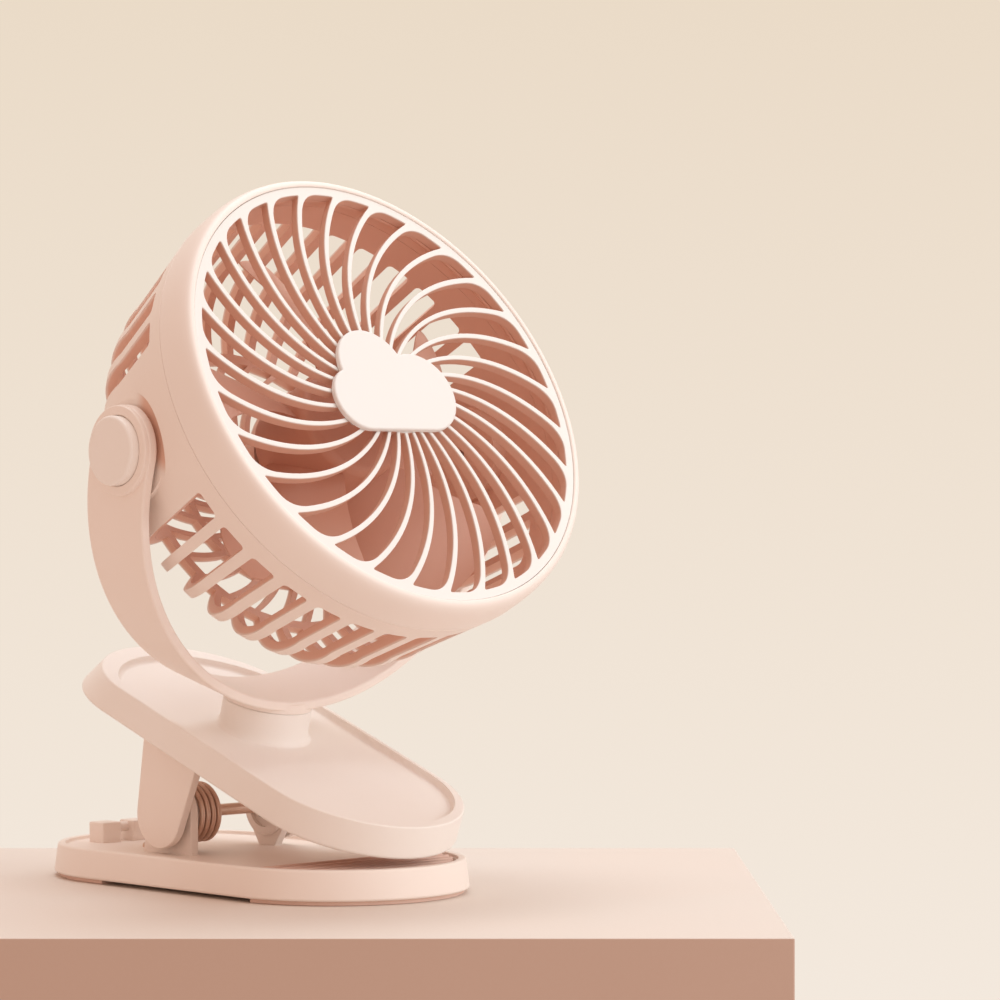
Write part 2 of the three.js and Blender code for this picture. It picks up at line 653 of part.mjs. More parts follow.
function yokeSolid() {
  const inner = yoke.radius - yoke.wall;
  const flangeTop = -yoke.radius - yoke.drop + 1.9;
  const flange = rod(neck.radius, -neck.top + clearance, flangeTop, mediumSides);
  const rings = [1, -1].map((side) => acrossY([
    [0, yoke.radius - 0.5], [pivotCap.ringRadius, yoke.radius - 0.5],
    [pivotCap.ringRadius, yoke.radius + pivotCap.ringHeight - 0.4],
    [pivotCap.ringRadius - 0.4, yoke.radius + pivotCap.ringHeight], [0, yoke.radius + pivotCap.ringHeight],
  ], 0, 0, mediumSides, side));
  const capWells = [1, -1].map((side) => acrossY([
    [0, yoke.radius + clearance], [pivotCap.radius + clearance, yoke.radius + clearance],
    [pivotCap.radius + clearance, yoke.radius + 5], [0, yoke.radius + 5],
  ], 0, 0, mediumSides, side));
  const washerWells = [1, -1].map((side) => acrossY([
    [0, inner - 2], [pivotWasher.radius + clearance, inner - 2],
    [pivotWasher.radius + clearance, trunnion.land + 2 * clearance + pivotWasher.thickness],
    [0, trunnion.land + 2 * clearance + pivotWasher.thickness],
  ], 0, 0, mediumSides, side));
  const pivotHole = barAcross(trunnion.radius + clearance, -yoke.radius - 5, yoke.radius + 5, 0, 0, 24);
  const screwWell = revolved([
    [0, -neck.top - 1], [swivelHead.shank + clearance, -neck.top - 1],
    [swivelHead.shank + clearance, swivelHead.floor], [swivelHead.radius + clearance, swivelHead.floor],
    [swivelHead.radius + clearance, -60], [0, -60],
  ], 24);
  return cut(joined(yokeBand(), flange, ...rings), ...capWells, ...washerWells, pivotHole, screwWell);
}

function pivotCapSolid(side) {
  const seat = yoke.radius + 2 * clearance;
  const { face, radius } = pivotCap;
  const cavity = pivotScrew.head + 1.4;
  return acrossY([
    [0, face - 1.2], [cavity, face - 1.2], [cavity, seat], [radius, seat], [radius, face - 0.9],
    [radius - 0.3, face - 0.3], [radius - 1, face], [0, face],
  ], 0, 0, mediumSides, side);
}

function pivotWasherSolid(side) {
  const start = trunnion.land + clearance;
  return acrossY([
    [trunnion.radius + clearance, start], [pivotWasher.radius, start],
    [pivotWasher.radius, start + pivotWasher.thickness],
    [trunnion.radius + clearance, start + pivotWasher.thickness],
  ], 0, 0, mediumSides, side);
}

function pivotScrewSolid(side) {
  const geometry = geometryOf(screwSolid(pivotScrew.length, { headRadius: pivotScrew.head }));
  geometry.rotateX(-side * Math.PI / 2);
  geometry.translate(0, side * (trunnion.end + clearance), 0);
  return solidOf(geometry);
}

function swivelScrewSolid() {
  const geometry = geometryOf(screwSolid(swivelHead.length, {
    shank: swivelHead.shank, headRadius: swivelHead.radius,
  }));
  geometry.translate(0, 0, swivelHead.floor + clearance);
  return solidOf(geometry);
}

const neckWasherSolid = () => ring(
  swivelHead.shank + 1.5, neckWasher.radius, -neck.top - neckWasher.thickness, -neck.top, mediumSides,
);

// ---------------------------------------------------------------- fan head

// Points on an arc in the plane of radius and height, in degrees from outwards towards the front.
function arc(centreRadius, centreHeight, radius, from, to, steps) {
  const points = [];
  for (let i = 0; i <= steps; i += 1) {
    const angle = (from + (to - from) * i / steps) * degrees;
    points.push([centreRadius + radius * Math.cos(angle), centreHeight + radius * Math.sin(angle)]);
  }
  return points;
}

const cowlInner = head.seamRadius - cowl.wall;

function cowlProfile() {
  const swell = head.seamRadius - head.lipRadius;
  const start = head.seam + clearance + 3.2;
  const rise = head.lip - start;
  const crown = arc(0, 0, 1, 0, 90, 3).map(([out, up]) => [head.lipRadius + swell * out, start + rise * up]);
  return [
    [cowlInner, head.seam + clearance], [head.seamRadius, head.seam + clearance], ...crown,
    [cowl.groove + 0.5, head.lip], [cowl.groove, head.lip - 0.5], [cowl.groove, cowl.ledgeTop],
    [cowl.ledge, cowl.ledgeTop], [cowl.ledge, cowl.ledgeTop - 2], [cowlInner, cowl.ledgeTop - 4.4],
  ];
}

function cageProfile() {
  const centre = head.waistRadius - cage.corner;
  const tongueOuter = cowlInner - clearance;
  const tongueInner = tongueOuter - 1.6;
  return [
    [0, cage.back], ...arc(centre, head.waist, cage.corner, -90, 0, 4),
    [head.seamRadius, head.seam], [tongueOuter, head.seam], [tongueOuter, head.seam + cage.tongue],
    [tongueInner, head.seam + cage.tongue], [tongueInner, head.seam - 4.6],
    ...arc(centre, head.waist, cage.corner - cage.wall, 0, -90, 2),
    [0, cage.back + cage.wall],
  ];
}

const polar = (radius, angle) => new THREE.Vector2(radius * Math.cos(angle), radius * Math.sin(angle));

// The slots round the lower and upper halves, wedges that run from the wall round to the back.
function sideSlots() {
  const tools = [];
  const half = cage.slotAngle / 2 * degrees;
  const inner = backGrille.rows.at(-1)[1] + 2.6;
  const outer = head.seamRadius + 5;
  for (const middle of [0, 180]) {
    for (let i = 0; i < cage.slots; i += 1) {
      const angle = (middle + (i - (cage.slots - 1) / 2) * cage.pitch) * degrees;
      const shape = new THREE.Shape([
        polar(inner, angle - half), polar(outer, angle - half), polar(outer, angle + half), polar(inner, angle + half),
      ]);
      tools.push(slab(shape, cage.back - 2, cage.slotTop));
    }
  }
  return tools;
}

// One window between two swirling spokes of the back, from radius r0 to r1.
function backWindow(spoke, r0, r1) {
  const first = backGrille.rows[0][0];
  const last = backGrille.rows.at(-1)[1];
  const pitch = 360 / backGrille.spokes;
  const steps = 1;
  const side = (offset, sign) => {
    const points = [];
    for (let i = 0; i <= steps; i += 1) {
      const radius = r0 + (r1 - r0) * i / steps;
      const swirl = backGrille.sweep * (radius - first) / (last - first);
      const angle = (spoke * pitch + offset + swirl) * degrees + sign * backGrille.spokeWidth / 2 / radius;
      points.push(polar(radius, angle));
    }
    return points;
  };
  return slab(new THREE.Shape([...side(0, 1), ...side(pitch, -1).reverse()]), cage.back - 1, cage.back + cage.wall + 3);
}

function backWindows() {
  const tools = [];
  for (let spoke = 0; spoke < backGrille.spokes; spoke += 1) {
    for (const [r0, r1] of backGrille.rows) tools.push(backWindow(spoke, r0, r1));
  }
  return tools;
}

const motorScrewFloor = cage.back + 1.7;
const motorScrewPlaces = [-1, 1].map((side) => side * motor.radius * 0.65);

function rearCageSolid() {
  const bossStart = head.waistRadius - cage.wall - 3.5;
  const land = (side) => acrossY([
    [0, bossStart], [trunnion.landRadius, bossStart], [trunnion.landRadius, trunnion.land], [0, trunnion.land],
  ], 0, 0, mediumSides, side);
  const trim = (side) => acrossY([
    [0, trunnion.land], [trunnion.landRadius + trunnion.relief, trunnion.land],
    [trunnion.landRadius + trunnion.relief, head.seamRadius + 3],
    [0, head.seamRadius + 3],
  ], 0, 0, mediumSides, side);
  const stub = (side) => acrossY([
    [0, trunnion.land - 1], [trunnion.radius, trunnion.land - 1], [trunnion.radius, trunnion.end], [0, trunnion.end],
  ], 0, 0, 24, side);
  const seatRadius = motor.radius + clearance;
  const seat = ring(seatRadius, seatRadius + motor.seatWall, cage.back + cage.wall - 0.5, motor.seatTop, mediumSides);
  const shell = cut(revolved(cageProfile()), ...sideSlots(), ...backWindows());
  const whole = joined(cut(joined(shell, land(1), land(-1)), trim(1), trim(-1)), stub(1), stub(-1), seat);
  const pivotBore = barAcross(screw.shank + clearance, bossStart - 1, trunnion.end + 1, 0, 0);
  const farBore = barAcross(screw.shank + clearance, -trunnion.end - 1, -bossStart + 1, 0, 0);
  const motorHoles = motorScrewPlaces.map((x) => {
    const geometry = turned([
      [0, cage.back - 1], [screw.head + clearance, cage.back - 1], [screw.head + clearance, motorScrewFloor],
      [screw.shank + clearance, motorScrewFloor], [screw.shank + clearance, cage.back + cage.wall + 1],
      [0, cage.back + cage.wall + 1],
    ], smallSides);
    geometry.translate(x, 0, 0);
    return solidOf(geometry);
  });
  return cut(whole, pivotBore, farBore, ...motorHoles);
}

// ---------------------------------------------------------------- front grille and its plaque

// How far the bars have swept round at a radius, in radians.
const barSwirl = (radius) => {
  const part = Math.max(radius - grille.hub, 0) / (grille.tipRadius - grille.hub);
  return grille.sweep * part ** 1.1 * degrees;
};

// The gap between one bar and the next: tapered, swept, and rounded at its outer leading corner.
function grilleSlot(index) {
  const pitch = 2 * Math.PI / grille.bars;
  const start = grille.first * degrees - barSwirl(grille.tipRadius) + index * pitch;
  const halfAngle = (radius) => {
    const part = (radius - grille.hub) / (grille.tipRadius - grille.hub);
    const width = bar.innerWidth + (bar.outerWidth - bar.innerWidth) * part;
    const slope = (barSwirl(radius + 0.5) - barSwirl(radius - 0.5)) * radius;
    return width / 2 / radius * Math.hypot(1, slope);
  };
  const edge = (side, last) => {
    const points = [];
    for (let i = 0; i <= bar.steps; i += 1) {
      const radius = grille.hub + (last - grille.hub) * i / bar.steps;
      const bend = start + barSwirl(radius);
      points.push(polar(radius, side > 0 ? bend + halfAngle(radius) : bend + pitch - halfAngle(radius)));
    }
    return points;
  };
  const tip = grille.tipRadius;
  const trailing = edge(1, tip - 0.8);
  const leading = edge(-1, tip - bar.tipCurve);
  const shape = new THREE.Shape();
  shape.setFromPoints(trailing);
  const tipStart = start + barSwirl(tip) + halfAngle(tip);
  const tipEnd = start + barSwirl(tip) + pitch - halfAngle(tip);
  const softTurn = tipEnd - bar.tipCurve / tip;
  const arcStart = polar(tip, tipStart + 0.8 / tip);
  shape.quadraticCurveTo(...polar(tip, tipStart).toArray(), ...arcStart.toArray());
  shape.absarc(0, 0, tip, tipStart + 0.8 / tip, softTurn);
  const end = leading.at(-1);
  shape.quadraticCurveTo(...polar(tip, tipEnd).toArray(), ...end.toArray());
  for (const point of leading.reverse().slice(1)) shape.lineTo(point.x, point.y);
  return slab(shape, grille.front - grille.thickness - 1, grille.front + 1, 2);
}

function frontGrilleSolid() {
  const back = grille.front - grille.thickness;
  const blank = revolved([
    [0, back], [grille.radius, back], [grille.radius, grille.front - 0.3], [grille.radius - 0.3, grille.front],
    [0, grille.front],
  ]);
  const slots = [];
  for (let i = 0; i < grille.bars; i += 1) slots.push(grilleSlot(i));
  return cut(blank, ...slots, rod(plaque.stem + clearance, back - 1, grille.front + 1));
}

// A cloud of three round lobes on a straight foot; right is +Y and up is -X, seen from the front.
const lobes = [
  { right: -13.5, up: -4, radius: 9.9 },
  { right: -5.3, up: 6, radius: 12.3 },
  { right: 10.2, up: -1.4, radius: 12.5 },
];

function plaqueSolid() {
  const z0 = grille.front + clearance;
  const z1 = z0 + plaque.thickness;
  const round = lobes.map(({ right, up, radius }) => {
    const geometry = turned([
      [0, z0], [radius, z0], [radius, z1 - plaque.edge], [radius - plaque.edge / 3, z1 - plaque.edge / 3],
      [radius - plaque.edge, z1], [0, z1],
    ], mediumSides);
    geometry.translate(-up, right, 0);
    return solidOf(geometry);
  });
  const [left, , rightLobe] = lobes;
  const bottom = rightLobe.radius - rightLobe.up;
  const profile = new THREE.Shape([
    [bottom, z0], [bottom, z1 - plaque.edge], [bottom - plaque.edge / 3, z1 - plaque.edge / 3],
    [bottom - plaque.edge, z1], [0, z1], [0, z0],
  ].map(([x, z]) => new THREE.Vector2(x, z)));
  const footBar = plate(profile, left.right, rightLobe.right);
  return joined(...round, footBar, rod(plaque.stem, grille.front - grille.thickness + 0.4, z0 + 0.5));
}

// ---------------------------------------------------------------- motor and rotor

function motorCanSolid() {
  const bore = motor.shaftRadius + clearance;
  const body = revolved([
    [0, motor.rear], [motor.radius, motor.rear], [motor.radius, motor.front - 0.8],
    [motor.radius - 0.8, motor.front], [motor.noseRadius, motor.front],
    [motor.noseRadius, motor.front + 1.4], [bore, motor.front + 1.4], [bore, motor.front - 11],
    [0, motor.front - 11],
  ], mediumSides);
  const holes = motorScrewPlaces.map((x) => {
    const geometry = turned([
      [0, motor.rear - 1], [screw.shank + clearance, motor.rear - 1], [screw.shank + clearance, motor.rear + 4],
      [0, motor.rear + 4],
    ], smallSides);
    geometry.translate(x, 0, 0);
    return solidOf(geometry);
  });
  return cut(body, ...holes);
}

function motorScrewSolid(x) {
  const geometry = geometryOf(screwSolid(5));
  geometry.rotateX(Math.PI);
  geometry.translate(x, 0, motorScrewFloor - clearance);
  return solidOf(geometry);
}

// One blade: sections round the shaft that widen, flatten and sweep towards the tip.
function bladeSolid(angle) {
  const root = rotor.hubRadius - rotor.wall / 2;
  const stations = 4;
  const across = 6;
  const rings = [];
  for (let i = 0; i <= stations; i += 1) {
    const part = i / stations;
    const radius = root + (rotor.tip - root) * part;
    const tipRound = Math.sqrt(1 - Math.max(0, part - 0.7) ** 2 * 7);
    const chord = (22 + 26 * part ** 0.8) * tipRound;
    const pitch = (46 - 20 * part) * degrees;
    const middle = angle * degrees + 0.35 * part ** 1.5;
    const point = (s, lift) => {
      const turn = middle + s * chord / 2 * Math.cos(pitch) / radius;
      const height = 8 + s * chord / 2 * Math.sin(pitch) + 1.6 * (1 - s * s) + lift;
      return new THREE.Vector3(radius * Math.cos(turn), radius * Math.sin(turn), height);
    };
    const thick = (s) => rotor.thickness / 2 * (0.35 + 0.65 * Math.cos(s * Math.PI / 2));
    const lowerSide = [];
    const upperSide = [];
    for (let k = 0; k <= across; k += 1) {
      const s = -1 + 2 * k / across;
      lowerSide.push(point(s, -thick(s)));
      upperSide.push(point(s, thick(s)));
    }
    rings.push([...lowerSide, ...upperSide.reverse()]);
  }
  return lofted(rings);
}

function rotorSolid() {
  const { hubRadius, wall, rear, front } = rotor;
  const bore = motor.shaftRadius + clearance;
  const hub = revolved([
    [bore, rear + 2], [bore + 2.6, rear + 2], [bore + 2.6, front - 2.4], [hubRadius - wall, front - 2.4],
    [hubRadius - wall, rear], [hubRadius, rear], ...arc(hubRadius - 3, front - 3, 3, 0, 90, 3), [bore, front],
  ], mediumSides);
  const blades = [];
  for (let i = 0; i < rotor.blades; i += 1) blades.push(bladeSolid(360 * i / rotor.blades + 20));
  return joined(hub, ...blades);
}

// ---------------------------------------------------------------- the whole fan

// A group turned about the Y axis, as the jaws, the yoke and the head are.
function leaningGroup(x, z, tilt, pieces) {
  const group = new THREE.Group();
  group.position.set(x, 0, z);
  group.rotation.y = tilt * degrees;
  group.add(...pieces);
  return group;
}

const springLine = springPath();
console.log(`clip spring: least gap between turns ${leastSelfGap(springLine, coil.wire).toFixed(2)} mm`);

function collarSolid(y) {
  return ringAcross(
    hinge.pinRadius + clearance, hinge.collarRadius, y - hinge.collarWidth / 2, y + hinge.collarWidth / 2,
    hinge.x, hinge.z,
  );
}

const clipPieces = [
  piece('lower_jaw', lowerJawSolid(), pink),
  piece('lower_grip_pad', lowerPadSolid(), rubber),
  piece('front_foot_pad', footSolid(foot.frontStart, lower.length), rubber),
  piece('rear_foot_pad', footSolid(-lower.length, foot.rearEnd), rubber),
  piece('hinge_pin', barAcross(hinge.pinRadius, -hinge.pinHalf, hinge.pinHalf, hinge.x, hinge.z), steel),
  piece('pin_ring_left', collarSolid(-ear.bossEnd + clearance + hinge.collarWidth / 2), darkSteel),
  piece('pin_ring_right', collarSolid(ear.inner - clearance - hinge.collarWidth / 2), darkSteel),
  piece('clip_spring', tubeAlong(springLine, coil.wire / 2, coil.sides), steel),
];

const upperPieces = [
  piece('upper_jaw_tray', upperTraySolid(), palePink),
  piece('upper_jaw_cover', upperCoverSolid(), pink),
  piece('upper_grip_pad', upperPadSolid(), rubber),
  ...coverScrew.places.map(([x, y], i) => piece(`cover_screw_${i + 1}`, coverScrewSolid(x, y), steel)),
  ...upperFittings(),
];

const yokePieces = [
  piece('yoke', yokeSolid(), pink),
  piece('neck_washer', neckWasherSolid(), nylon),
  piece('neck_screw', swivelScrewSolid(), steel),
  piece('pivot_cap_left', pivotCapSolid(-1), palePink),
  piece('pivot_cap_right', pivotCapSolid(1), palePink),
  piece('pivot_screw_left', pivotScrewSolid(-1), steel),
  piece('pivot_screw_right', pivotScrewSolid(1), steel),
  piece('pivot_washer_left', pivotWasherSolid(-1), nylon),
  piece('pivot_washer_right', pivotWasherSolid(1), nylon),
];

const headPieces = [
  piece('front_grille', frontGrilleSolid(), palePink),
  piece('grille_plaque', plaqueSolid(), palePink),
  piece('front_cowl', revolved(cowlProfile()), pink),
  piece('rear_cage', rearCageSolid(), deepPink),
  piece('motor_can', motorCanSolid(), steel),
  piece('motor_shaft', rod(motor.shaftRadius, motor.front - 10, rotor.front - 0.5), steel),
  piece('fan_rotor', rotorSolid(), palePink),
  ...motorScrewPlaces.map((x, i) => piece(`motor_screw_${i + 1}`, motorScrewSolid(x), darkSteel)),
];

// The origin is under the middle of the fan's length: from the lower jaw's rear end to the front lip.
const facing = head.tilt * degrees;
const lipFront = Math.max(...cowlProfile().map(([radius, z]) => radius * Math.cos(facing) + z * Math.sin(facing)));
const fan = new THREE.Group();
fan.position.x = -(pivot.x + lipFront - lowerEnd) / 2;
fan.add(
  ...clipPieces,
  leaningGroup(upper.x, upper.z, upper.tilt, upperPieces),
  leaningGroup(pivot.x, pivot.z, neck.tilt, yokePieces),
  leaningGroup(pivot.x, pivot.z, head.tilt, headPieces),
);

export default fan;
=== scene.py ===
import math

import bmesh
import bpy
from mathutils import Matrix, Vector


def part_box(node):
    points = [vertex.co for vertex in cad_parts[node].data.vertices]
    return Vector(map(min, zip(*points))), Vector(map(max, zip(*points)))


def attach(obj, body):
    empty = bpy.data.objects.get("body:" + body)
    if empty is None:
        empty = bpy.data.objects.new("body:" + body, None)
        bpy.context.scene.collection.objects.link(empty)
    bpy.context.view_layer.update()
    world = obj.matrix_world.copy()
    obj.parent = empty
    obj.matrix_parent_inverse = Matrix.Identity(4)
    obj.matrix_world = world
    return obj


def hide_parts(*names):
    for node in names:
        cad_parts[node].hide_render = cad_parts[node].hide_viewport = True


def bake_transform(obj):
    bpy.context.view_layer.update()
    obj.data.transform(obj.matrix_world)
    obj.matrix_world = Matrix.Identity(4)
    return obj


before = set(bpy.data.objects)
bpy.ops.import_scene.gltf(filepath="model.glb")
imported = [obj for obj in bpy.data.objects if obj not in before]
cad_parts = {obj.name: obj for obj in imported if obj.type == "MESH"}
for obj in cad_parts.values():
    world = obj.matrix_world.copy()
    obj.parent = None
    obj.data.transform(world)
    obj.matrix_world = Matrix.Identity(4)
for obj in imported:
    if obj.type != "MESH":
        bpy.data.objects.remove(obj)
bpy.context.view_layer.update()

mm = 0.001
deg = math.radians
print("frame loaded")

# The jaws, the yoke and the head each lean about Y from the clip's own frame. Sizes are in mm and degrees.
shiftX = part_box("lower_jaw")[0].x / mm + 73.6
hinge = {"x": -16, "z": 20.5}
lean = {"x": 6.54, "z": 46, "tilt": 20.3}
pivot = {"x": 24.3, "z": 126.5, "yokeTilt": 15.1, "headTilt": 62.15}


def leaning(x, z, tilt):
    return Matrix.Translation(((x + shiftX) * mm, 0, z * mm)) @ Matrix.Rotation(deg(tilt), 4, "Y")


clipFrame = leaning(0, 0, 0)
jawFrame = leaning(lean["x"], lean["z"], lean["tilt"])
yokeFrame = leaning(pivot["x"], pivot["z"], pivot["yokeTilt"])
headFrame = leaning(pivot["x"], pivot["z"], pivot["headTilt"])
yokeInJaw = jawFrame.inverted() @ yokeFrame
pinInJaw = jawFrame.inverted() @ clipFrame @ (Vector((hinge["x"], 0, hinge["z"])) * mm) / mm


# Shapes are drawn in mm and kept in metres.

def meshPiece(name, points, faces, edges=()):
    mesh = bpy.data.meshes.new(name)
    mesh.from_pydata([Vector(point) * mm for point in points], list(edges), faces)
    mesh.update()
    piece = bpy.data.objects.new(name, mesh)
    bpy.context.scene.collection.objects.link(piece)
    if faces:
        shell = bmesh.new()
        shell.from_mesh(mesh)
        bmesh.ops.remove_doubles(shell, verts=shell.verts, dist=1e-7)
        bmesh.ops.recalc_face_normals(shell, faces=shell.faces)
        shell.to_mesh(mesh)
        shell.free()
    return piece


def baked(piece):
    bpy.context.view_layer.update()
    graph = bpy.context.evaluated_depsgraph_get()
    final = piece.evaluated_get(graph)
    mesh = bpy.data.meshes.new_from_object(final, preserve_all_data_layers=True, depsgraph=graph)
    old = piece.data
    piece.modifiers.clear()
    piece.data = mesh
    bpy.data.meshes.remove(old)
    return piece


def combined(piece, operation, *tools):
    for tool in tools:
        change = piece.modifiers.new(operation, "BOOLEAN")
        change.operation = operation
        change.solver = "MANIFOLD"
        change.object = tool
    baked(piece)
    for tool in tools:
        bpy.data.objects.remove(tool)
    return piece


def cut(piece, *tools):
    return combined(piece, "DIFFERENCE", *tools)


def joined(piece, *tools):
    return combined(piece, "UNION", *tools)


def within(piece, *tools):
    return combined(piece, "INTERSECT", *tools)


def moved(piece, matrix):
    piece.data.transform(matrix)
    return piece


def shifted(piece, x=0, y=0, z=0):
    return moved(piece, Matrix.Translation(Vector((x, y, z)) * mm))


def revolved(profile, sides=96):
    # a closed loop of (radius, height), counter-clockwise, turned about Z
    points, rows, faces = [], [], []
    for radius, height in profile:
        if radius < 1e-6:
            rows.append([len(points)] * sides)
            points.append((0, 0, height))
        else:
            rows.append([len(points) + i for i in range(sides)])
            turns = [2 * math.pi * i / sides for i in range(sides)]
            points += [(radius * math.cos(a), radius * math.sin(a), height) for a in turns]
    for low, high in zip(rows, rows[1:] + rows[:1]):
        for i in range(sides):
            k = (i + 1) % sides
            face = tuple(dict.fromkeys((low[i], low[k], high[k], high[i])))
            if len(face) > 2:
                faces.append(face)
    return meshPiece("turned", points, faces)


def rod(radius, z0, z1, sides=64):
    return revolved([(0, z0), (radius, z0), (radius, z1), (0, z1)], sides)


def acrossY(piece, x=0, z=0, side=1):
    # lays a shape turned about Z along Y, its heights measured towards +Y or -Y
    moved(piece, Matrix.Rotation(-side * math.pi / 2, 4, "X"))
    return shifted(piece, x, 0, z)


def barAcross(radius, y0, y1, x=0, z=0, sides=64):
    return acrossY(rod(radius, y0, y1, sides), x, z)


def lofted(rings):
    count = len(rings[0])
    last = (len(rings) - 1) * count
    faces = [tuple(reversed(range(count))), tuple(range(last, last + count))]
    for row in range(0, last, count):
        for i in range(count):
            k = (i + 1) % count
            faces.append((row + i, row + k, row + k + count, row + i + count))
    return meshPiece("loft", [point for ring in rings for point in ring], faces)


def block(x0, x1, y0, y1, z0, z1, soft=0):
    corners = [(x0, y0), (x1, y0), (x1, y1), (x0, y1)]
    piece = lofted([[(x, y, z) for x, y in corners] for z in (z0, z1)])
    return eased(piece, soft) if soft else piece


def eased(piece, soft, segments=3, limit=35):
    edge = piece.modifiers.new("edge", "BEVEL")
    edge.width = soft * mm
    edge.segments = segments
    edge.limit_method = "ANGLE"
    edge.angle_limit = deg(limit)
    return baked(piece)


def softened(corners, steps=4):
    # rounds each (x, y, radius) corner of a closed outline
    loop = []
    count = len(corners)
    for i, (x, y, radius) in enumerate(corners):
        here = Vector((x, y))
        if radius <= 0:
            loop.append((x, y))
            continue
        back = Vector(corners[i - 1][:2]) - here
        ahead = Vector(corners[(i + 1) % count][:2]) - here
        half = back.angle(ahead) / 2
        reach = min(radius / math.tan(half), back.length * 0.49, ahead.length * 0.49)
        middle = here + (back.normalized() + ahead.normalized()).normalized() * (reach / math.cos(half))
        start = here + back.normalized() * reach - middle
        end = here + ahead.normalized() * reach - middle
        first = math.atan2(start.y, start.x)
        turn = (math.atan2(end.y, end.x) - first + math.pi) % (2 * math.pi) - math.pi
        reach = start.length
        for step in range(steps + 1):
            angle = first + turn * step / steps
            loop.append((middle.x + reach * math.cos(angle), middle.y + reach * math.sin(angle)))
    return loop


def quarter(steps=5):
    return [deg(90 * i / steps) for i in range(steps + 1)]


def rises(x, z, soft, steps=5):
    # rounds a foot, from soft beside x at height z up to x itself; soft below 0 lies towards the middle
    return [(x + soft * (1 - math.sin(a)), z + abs(soft) * (1 - math.cos(a))) for a in quarter(steps)]


def turnsOver(x, z, soft, steps=5):
    # rounds a top edge, from x below height z over to soft beside it
    return [(x + soft * (1 - math.cos(a)), z - abs(soft) * (1 - math.sin(a))) for a in quarter(steps)]


def curve(a, b, c, steps):
    # points after a on a smooth bend from a to c that leans towards b
    parts = [i / steps for i in range(1, steps + 1)]
    return [a * (1 - t) ** 2 + b * 2 * t * (1 - t) + c * t * t for t in parts]


def arc(x, y, radius, start, end, steps):
    turns = [deg(start + (end - start) * i / steps) for i in range(steps + 1)]
    return [(x + radius * math.cos(a), y + radius * math.sin(a)) for a in turns]


def stadium(rear, front, width, z, steps=40):
    radius = width / 2
    ends = arc(front - radius, 0, radius, -90, 90, steps) + arc(rear + radius, 0, radius, 90, 270, steps)
    return [(x, y, z) for x, y in ends]


def drawnIn(outline, amount):
    # a smooth convex outline, each point moved inwards
    count = len(outline)
    area = sum(a[0] * b[1] - b[0] * a[1] for a, b in zip(outline, outline[1:] + outline[:1]))
    way = 1 if area > 0 else -1
    loop = []
    for i, point in enumerate(outline):
        along = Vector(outline[(i + 1) % count]) - Vector(outline[i - 1])
        inward = Vector((-along.y, along.x)).normalized() * way
        loop.append((point[0] + inward.x * amount, point[1] + inward.y * amount))
    return loop


def plate(outline, y0, y1, soft=0.4):
    # an outline drawn in X and Z, as thick as from y0 to y1, its edges rounded
    levels = rises(0, y0, soft, 3) + turnsOver(0, y1, soft, 3)
    return lofted([[(x, y, z) for x, z in drawnIn(outline, amount)] for amount, y in levels])


def slab(outline, z0, z1):
    return lofted([[(x, y, z) for x, y in outline] for z in (z0, z1)])


def touchAngle(start, centre, radius, side):
    away = math.atan2(start[1] - centre[1], start[0] - centre[0])
    return away + side * math.acos(radius / math.dist(start, centre))


# Node trees for what repeats: ribs, windows, bars, blades, screws and the wound wire.

def newTree(name, sockets):
    tree = bpy.data.node_groups.new(name, "GeometryNodeTree")
    tree.interface.new_socket("Geometry", in_out="OUTPUT", socket_type="NodeSocketGeometry")
    tree.interface.new_socket("Geometry", in_out="INPUT", socket_type="NodeSocketGeometry")
    for label, kind in sockets:
        tree.interface.new_socket(label, in_out="INPUT", socket_type="NodeSocket" + kind)
    return tree, tree.nodes.new("NodeGroupInput"), tree.nodes.new("NodeGroupOutput")


def closeTree(tree, geometry, given, out):
    real = tree.nodes.new("GeometryNodeRealizeInstances")
    paint = tree.nodes.new("GeometryNodeSetMaterial")
    tree.links.new(geometry, real.inputs["Geometry"])
    tree.links.new(real.outputs[0], paint.inputs["Geometry"])
    tree.links.new(given.outputs["Material"], paint.inputs["Material"])
    tree.links.new(paint.outputs[0], out.inputs[0])


def runTree(piece, tree, values):
    work = piece.modifiers.new(tree.name, "NODES")
    work.node_group = tree
    for item in tree.interface.items_tree:
        if item.in_out == "INPUT" and item.name in values:
            work[item.identifier] = values[item.name]
    return baked(piece)


def buildRepeatTree():
    # copies of one shape, each a step further along and a turn further round
    tree, given, out = newTree("repeatShape", [("Count", "Int"), ("Step", "Vector"), ("Turn", "Vector"),
                                              ("Material", "Material")])
    spots = tree.nodes.new("GeometryNodePoints")
    index = tree.nodes.new("GeometryNodeInputIndex")
    place = tree.nodes.new("GeometryNodeInstanceOnPoints")
    for label, node, socket in (("Step", spots, "Position"), ("Turn", place, "Rotation")):
        scale = tree.nodes.new("ShaderNodeVectorMath")
        scale.operation = "SCALE"
        tree.links.new(given.outputs[label], scale.inputs[0])
        tree.links.new(index.outputs[0], scale.inputs["Scale"])
        tree.links.new(scale.outputs[0], node.inputs[socket])
    tree.links.new(given.outputs["Count"], spots.inputs["Count"])
    tree.links.new(spots.outputs[0], place.inputs["Points"])
    tree.links.new(given.outputs["Geometry"], place.inputs["Instance"])
    closeTree(tree, place.outputs[0], given, out)
    return tree


